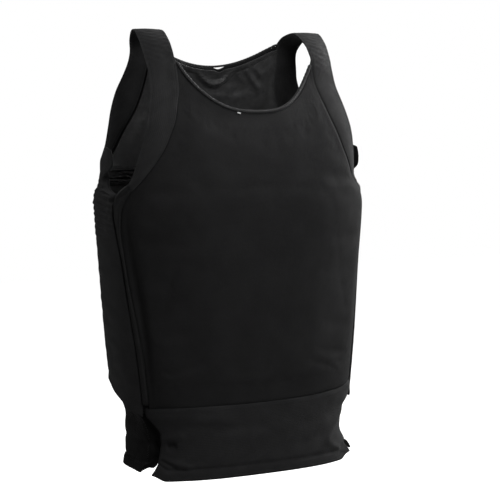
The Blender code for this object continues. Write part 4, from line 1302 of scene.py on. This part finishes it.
def past_armour(psi, drop):
    """Distance round the body from the armour's edge, positive outside it."""
    line = body_psi(smooth(ARMOUR_EDGE, "drop", "x", drop), drop)
    turn = np.abs(psi)
    turn = np.where(turn > math.pi / 2, math.pi - turn, turn)
    here = section_point(turn, drop, body_half_width, BODY)
    edge = section_point(line, drop, body_half_width, BODY)
    return np.copysign(np.linalg.norm(here - edge, axis=-1), turn - line)


def armour_dents(psi, drop, in_front):
    """Height of the cover above its smooth form, out of the wearer."""
    past = past_armour(psi, drop)
    fall = step(*ARMOUR_FALL_ACROSS, past) * (1 - ARMOUR_RISE_SHARE * step(*ARMOUR_RISE_ACROSS, past))
    fall *= np.where(psi > 0, LEFT_FALL_SHARE, 1.0) if in_front else BACK_FALL_SHARE
    x = section_point(psi, drop, body_half_width, BODY)[..., 0]
    dents = -ARMOUR_FALL * fall * bump(ARMOUR_FALL_DROPS, drop) + uneven(PANEL_BUMPS, x, drop)
    if in_front:
        dents += folded(PLATE_OUTLINE, x, drop) + folded(PANEL_CREASES, x, drop)
    return dents + uneven(PANEL_FINE_BUMPS, x, drop)


print("the cover falls by", ARMOUR_FALL * 1000, "mm past the armour")

# %% The swelling
SWELLING_FRAMES = 20
SWELLING_CAP, LEAST_MOVE = 0.0025, 1e-9
COVER_CLOTH = {
    "quality": 5,
    "mass": 0.2,
    "tension_stiffness": 12.0,
    "compression_stiffness": 12.0,
    "shear_stiffness": 6.0,
    "bending_stiffness": 0.3,
    "shrink_min": -0.004,
    "use_pressure": True,
    "uniform_pressure_force": 4.0,
}


def swell(piece, slack):
    """A cloth simulation with a little pressure. The slack is 0 where the cover is held."""
    start = places(piece)
    held = piece.vertex_groups.new(name="held")
    for index, value in enumerate(1 - slack):
        held.add([index], float(value), "REPLACE")
    filling = piece.modifiers.new("filling", "CLOTH")
    for name, value in COVER_CLOTH.items():
        setattr(filling.settings, name, value)
    filling.settings.vertex_group_mass = held.name
    filling.settings.effector_weights.gravity = 0.0
    filling.collision_settings.use_collision = False
    filling.point_cache.frame_start = 1
    filling.point_cache.frame_end = SWELLING_FRAMES
    for frame_number in range(1, SWELLING_FRAMES + 1):
        scene.frame_set(frame_number)
    bpy.ops.object.modifier_apply(modifier="filling")
    scene.frame_set(1)
    moved = places(piece) - start
    reach = np.linalg.norm(moved, axis=-1, keepdims=True)
    moved *= np.minimum(1.0, SWELLING_CAP / np.maximum(reach, LEAST_MOVE))
    put(piece, start + moved)
    print(piece.name, "swelled by up to", round(float(np.abs(reach).max()) * 1000, 2), "mm")


print("the swelling runs for", SWELLING_FRAMES, "frames")

# %% The two covers
PANEL_CELLS = (76, 84)
SLIM_START = 0.0006
SLACK = 0.98
PRESSED_THROUGH = 0.75
DENT_FADE = 0.5


def press_in(piece, dents, through):
    """Moves the outer face, the first half of the points, and the inner face this share as far."""
    normals = np.empty(len(piece.data.vertices) * 3)
    piece.data.vertices.foreach_get("normal", normals)
    points = places(piece)
    push = normals.reshape(-1, 3)[:len(dents)] * dents[:, None]
    points[:len(dents)] += push
    points[len(dents):] += push * through
    put(piece, points)


def padded_cover(name, place, panel_place, in_front):
    """A cover over its padding: slim at first, then swelled, and dented last."""
    piece, u, v = laid_grid(name, PANEL_CELLS, lambda u, v: place(u, v, -SLIM_START * padding(u, v)))
    thicken(piece, PANEL_MIDDLE, PANEL_EDGE, padding(u, v))
    slack = np.zeros(len(piece.data.vertices))
    slack[:len(u)] = padding(u, v) * SLACK
    swell(piece, slack)
    psi, drop = panel_place(u, v)
    dents = armour_dents(psi, drop, in_front) * padding(u, v) ** DENT_FADE
    press_in(piece, dents, PRESSED_THROUGH if in_front else 0.0)
    rounded(piece)
    return piece


front_cover = padded_cover("front_cover", front_cover_point, front_panel_place, True)
worn(front_cover, "front_panel", CARRIER)

back_cover = padded_cover("back_cover", back_cover_point, back_panel_place, False)
worn(back_cover, "back_panel", CARRIER)

# %% [markdown]
# ## The lining of the back
#
# The lining is a thin smooth cloth that isn't stretched as tightly as the cover. Under the back of the
# neck its loose facing sags into a small rolled fold, with slanting pulls beside it. The two gathered
# corners lie on it at the feet of the armholes.

# %% The lining
LINING_CELLS, GATHERED_CELLS = (84, 96), (56, 80)
lining = cloth_piece("lining", LINING_CELLS, lining_point, LINING_CLOTH)
worn(lining, "back_lining", INNER)

# %% The gathered corners
for word, way in (("right", -1), ("left", 1)):
    gathers, _, _ = laid_grid(f"lining_gathers_{word}", GATHERED_CELLS, sided(gathered_point, way), EVENLY)
    thicken(gathers, LINING_CLOTH)
    bpy.ops.object.shade_smooth()
    # The gathers wear the lining cloth darkened by painted shade, for the shadow among the ruffles.
    worn(gathers, None, SHADED_GATHERED_INNER)

# %% [markdown]
# ## Straps, edge folds and sides
#
# Each strap is one long band of cross-ribbed cloth, sewn to the panel along its inner edge, where it dips
# into the seam, and free along the outer one. The folded strip beside the front panel covers the side
# seam. The stretch cloth of the side is pulled in by its armhole lip, which gathers it.

# %% The sides
STRAP_CELLS, FOLD_CELLS, SIDE_CELLS = (16, 170), (12, 90), (36, 130)
for word, way in (("right", -1), ("left", 1)):
    strap = cloth_piece(
        f"strap_{word}", STRAP_CELLS, sided(strap_point, way), STRAP_CLOTH, LENGTH_CLOSENESS,
    )
    worn(strap, f"shoulder_strap_{word}", STRAPPING)
    fold = cloth_piece(f"edge_fold_{word}", FOLD_CELLS, sided(fold_point, way), STRIP_CLOTH)
    worn(fold, f"front_edge_strip_{word}", FOLDED_TRIM)
    side = cloth_piece(
        f"side_cloth_{word}", SIDE_CELLS, sided(side_point, way), SIDE_CLOTH, LENGTH_CLOSENESS,
    )
    worn(side, f"side_panel_{word}", STRETCH)

# %% [markdown]
# ## The hip bands
#
# Both bands are thin stretch cloth with a turned hem, so the last 16 mm are thicker and end at a stitched
# groove. The back band slips under the front one on the wearer's right, and its lower corner is cut away.

# %% The bands
FRONT_BAND_CELLS, BACK_BAND_CELLS = (124, 56), (110, 38)
HEM_FADE = (1.15, 0.95)


def hip_band(name, cells, place, cut):
    """A thin band, whose lowest part is thicker by its turned hem."""
    piece, _, v = laid_grid(name, cells, place)
    foot, top = (share * HEM_HEIGHT / cut.height for share in HEM_FADE)
    thicken(piece, HEM_CLOTH, BAND_CLOTH, step(foot, top, v))
    rounded(piece)
    return piece


front_band = hip_band("front_hip_band", FRONT_BAND_CELLS, front_band_point, FRONT_BAND_CUT)
worn(front_band, "front_waistband", STRETCH)
back_band = hip_band("back_hip_band", BACK_BAND_CELLS, back_band_point, BACK_BAND_CUT)
# The back band wears the stretch cloth darkened by painted shade, for the shadow it lies in.
worn(back_band, "back_waistband", SHADED_STRETCH)

# %% [markdown]
# ## The rolled neck edges
#
# The neckline is bound with a strip of the trim cloth rolled over the raw edge. It makes a round edge
# that is pulled in slightly by each stitch. The roll is a sheet bent round into a tube, closed along its
# inner side and drawn to a point at both ends, which lie under the straps.

# %% Neck rolls
FRONT_ROLL_CELLS, REAR_ROLL_CELLS = (14, 220), (12, 180)
FRONT_ROLL_LENGTH, REAR_ROLL_LENGTH = 0.29, 0.23
FRONT_ROLL_END_X, REAR_ROLL_END_X = 0.1085, 0.1055
ROLL_PULL, ROLL_PULL_PITCH = 0.00018, 0.0052
ROLL_STEP, ROLL_SIDEWAYS, ROLL_POINT = 0.002, 0.4, 0.012
ROLL_BUMPS, ROLL_BUMPS_TURN = Bumps(0.06, 0.012, 41.0), 0.002
WELD = 0.00002


def neck_line(neck_drop, rear, end_x):
    """The neck's edge, from the wearer's right (t = 0) to the left."""
    def place(t):
        x = (2 * t - 1) * end_x
        drop = neck_drop(x)
        return on_body(np.copysign(body_psi(np.abs(x), drop, rear), x), drop, -PANEL_SINK)
    return place


def faces_out(weld=0.0):
    """Welds the active piece's points that meet, and turns its faces outwards."""
    bpy.ops.object.mode_set(mode="EDIT")
    bpy.ops.mesh.select_all(action="SELECT")
    if weld:
        bpy.ops.mesh.remove_doubles(threshold=weld)
    bpy.ops.mesh.normals_make_consistent(inside=False)
    bpy.ops.object.mode_set(mode="OBJECT")


def rolled_edge(name, place, radius, length, cells):
    """A strip bent round into a tube along place(t), pulled in by its stitches and pointed at its ends."""
    def roll(u, v):
        middle = place(v)
        along = place(np.clip(v + ROLL_STEP, 0, 1)) - place(np.clip(v - ROLL_STEP, 0, 1))
        along /= np.linalg.norm(along, axis=-1, keepdims=True)
        outwards = np.stack([middle[..., 0] * ROLL_SIDEWAYS, middle[..., 1], np.zeros_like(v)], -1)
        outwards -= along * np.sum(outwards * along, -1, keepdims=True)
        outwards /= np.linalg.norm(outwards, axis=-1, keepdims=True)
        upwards = np.cross(along, outwards)
        angle = 2 * math.pi * u
        pointed = np.sqrt(step(0, ROLL_POINT, v) * step(1, 1 - ROLL_POINT, v))
        size = (radius + ROLL_PULL * np.sin(2 * math.pi * v * length / ROLL_PULL_PITCH)) * pointed
        size = size * (1 + uneven(ROLL_BUMPS, v * length, angle * ROLL_BUMPS_TURN))
        turned = outwards * np.cos(angle)[..., None] + upwards * np.sin(angle)[..., None]
        return middle + turned * size[..., None]

    piece, _, _ = laid_grid(name, cells, roll)
    faces_out(WELD)
    rounded(piece)
    return piece


front_roll = rolled_edge(
    "front_neck_roll", neck_line(front_neck_drop, False, FRONT_ROLL_END_X),
    FRONT_BINDING_RADIUS, FRONT_ROLL_LENGTH, FRONT_ROLL_CELLS,
)
worn(front_roll, "neck_binding_front", TRIM)
back_roll = rolled_edge(
    "back_neck_roll", neck_line(rear_neck_drop, True, REAR_ROLL_END_X),
    REAR_BINDING_RADIUS, REAR_ROLL_LENGTH, REAR_ROLL_CELLS,
)
worn(back_roll, "neck_binding_back", TRIM)

# %% [markdown]
# ## Stitches
#
# A stitch is a short spindle of thread that dips into the cloth at both ends. One is modelled and then
# copied along each seam line. The lines follow the surface of their own piece, a little above it.

# %% One stitch, copied along a line
bpy.ops.object.select_all(action="DESELECT")
bpy.ops.mesh.primitive_uv_sphere_add(segments=5, ring_count=3, radius=1)
stitch = bpy.context.object
STITCH_POINTS = places(stitch)
STITCH_FACES = [tuple(face.vertices) for face in stitch.data.polygons]
bpy.data.objects.remove(stitch, do_unlink=True)
THREAD_RADIUS = 0.00028
THREAD_RISE = 0.35
STITCH_PITCH = 0.0032
STITCH_SHARE = 0.78
LINE_POINTS, PROBE_LIFT = 1200, 0.001


def stitch_frames(line, pitch, share):
    """Middle, half length, direction and outward normal of each stitch on line(t, lift)."""
    t = np.linspace(0, 1, LINE_POINTS)
    path = line(t, 0.0)
    length = np.concatenate(([0.0], np.cumsum(np.linalg.norm(np.diff(path, axis=0), axis=-1))))
    count = int(length[-1] / pitch)
    starts = (np.arange(count) + 0.5 - share / 2) * pitch
    ends = starts + share * pitch
    a, b = (np.interp(at, length, t) for at in (starts, ends))
    first, last = line(a, 0.0), line(b, 0.0)
    middle = (first + last) / 2
    normal = line((a + b) / 2, PROBE_LIFT) - line((a + b) / 2, 0.0)
    normal /= np.linalg.norm(normal, axis=-1, keepdims=True)
    way = last - first
    half = np.linalg.norm(way, axis=-1, keepdims=True) / 2
    return middle, half, way / (2 * half), normal


def stitching(name, lines, material=None, node=None, radius=THREAD_RADIUS,
              pitch=STITCH_PITCH, share=STITCH_SHARE):
    """All the stitches on these lines, as one piece."""
    points, faces = [], []
    for line in lines:
        for middle, half, way, normal in zip(*stitch_frames(line, pitch, share)):
            across = np.cross(way, normal)
            frame_of_stitch = np.stack([across * radius, normal * radius, way * half], 0)
            base = len(points) * len(STITCH_POINTS)
            points.append(STITCH_POINTS @ frame_of_stitch + middle + normal * radius * THREAD_RISE)
            faces += [tuple(base + index for index in face) for face in STITCH_FACES]
    mesh = bpy.data.meshes.new(name)
    mesh.from_pydata(np.concatenate(points).tolist(), [], faces)
    piece = bpy.data.objects.new(name, mesh)
    bpy.context.collection.objects.link(piece)
    bpy.ops.object.select_all(action="DESELECT")
    piece.select_set(True)
    bpy.context.view_layer.objects.active = piece
    faces_out()
    bpy.ops.object.shade_smooth()
    worn(piece, node, material or BLACK_THREAD)


print("one stitch has", len(STITCH_FACES), "faces")

# %% The seams' stitches
FRONT_BAND_REACH, BACK_BAND_REACH = (0.015, 0.985), (0.015, 0.955)
LONG_REACH, SIDE_REACH, NECK_REACH = (0.03, 0.97), (0.03, 0.70), (0.04, 0.96)
NECK_ROW = 0.9935


def row_across(point, v, reach):
    """A line across a piece, at this height."""
    return lambda t, lift: point(mix(*reach, t), np.full_like(t, v), lift)


def row_along(point, u, reach, side):
    """A line along one of a pair of pieces."""
    return lambda t, lift: point(np.full_like(t, u), mix(*reach, t), side, lift)


def band_rows(front_rows, back_rows):
    front = [row_across(front_band_point, v, FRONT_BAND_REACH) for v in front_rows]
    return front + [row_across(back_band_point, v, BACK_BAND_REACH) for v in back_rows]


def paired_rows(point, places_across, reach):
    return [row_along(point, u, reach, side) for u in places_across for side in (1, -1)]


stitching("waist_stitches", band_rows((0.945, 0.918), (0.945, 0.920)))
stitching("hem_stitches", band_rows((0.152, 0.128), (0.135, 0.114)))
stitching("strap_stitches", paired_rows(strap_point, (0.10, 0.90), LONG_REACH))
stitching("edge_stitches", paired_rows(fold_point, (0.22, 0.78), LONG_REACH))
stitching("side_stitches", paired_rows(side_point, (0.975, 0.955), SIDE_REACH))
stitching("neck_stitches", [row_across(front_cover_point, NECK_ROW, NECK_REACH)])

# %% The overlocked vent edges
ZIGZAG_PITCH, ZIGZAG_WIDTH = 0.0046, 0.0050
ZIGZAG_THREAD_PITCH, ZIGZAG_THREAD_SHARE = 0.0023, 0.92
ZIGZAG_SHARE = ZIGZAG_WIDTH / BACK_BAND_CUT.width


def zigzag(at_u, foot, top):
    """Overlock stitches across the back band's edge at the vent."""
    def line(t, lift):
        turns = (top - foot) * BACK_BAND_CUT.height / ZIGZAG_PITCH
        swing = 2 * np.abs((t * turns) % 1 - 0.5)
        return back_band_point(at_u + ZIGZAG_SHARE * swing, mix(foot, top, t), lift)
    return line


stitching(
    "vent_overlock", [zigzag(1 - UNDERLAP_SHARE - ZIGZAG_SHARE, 0.10, 0.86), zigzag(0.004, 0.05, 0.90)],
    pitch=ZIGZAG_THREAD_PITCH, share=ZIGZAG_THREAD_SHARE,
)

# %% [markdown]
# ## The thread tack at the neck
#
# Just under the front neck edge there is a small pale bar of thread. A bar tack is a row of close satin
# stitches, side by side.

# %% The tack
TACK_X, TACK_HALF_WIDTH, TACK_HALF_HEIGHT, TACK_LIFT = -0.0294, 0.0022, 0.0015, 0.0004
TACK_STRANDS, TACK_STRAND_RADIUS, TACK_STRAND_LENGTH = 9, 0.00042, 0.00295


def tack_strand(offset):
    """One strand, this far to the side of the tack's middle."""
    def line(t, lift):
        x = np.full_like(t, TACK_X + offset)
        middle = below_binding(front_neck_drop, FRONT_BINDING_RADIUS, x) + TACK_HALF_HEIGHT
        drop = middle + TACK_HALF_HEIGHT * (2 * t - 1)
        return on_body(-body_psi(np.abs(x), drop), drop, lift + TACK_LIFT)
    return line


TACK_OFFSETS = np.linspace(-TACK_HALF_WIDTH, TACK_HALF_WIDTH, TACK_STRANDS)
stitching(
    "tack_knot", [tack_strand(offset) for offset in TACK_OFFSETS], material=THREAD,
    node="neck_tack", radius=TACK_STRAND_RADIUS, pitch=TACK_STRAND_LENGTH, share=1.0,
)
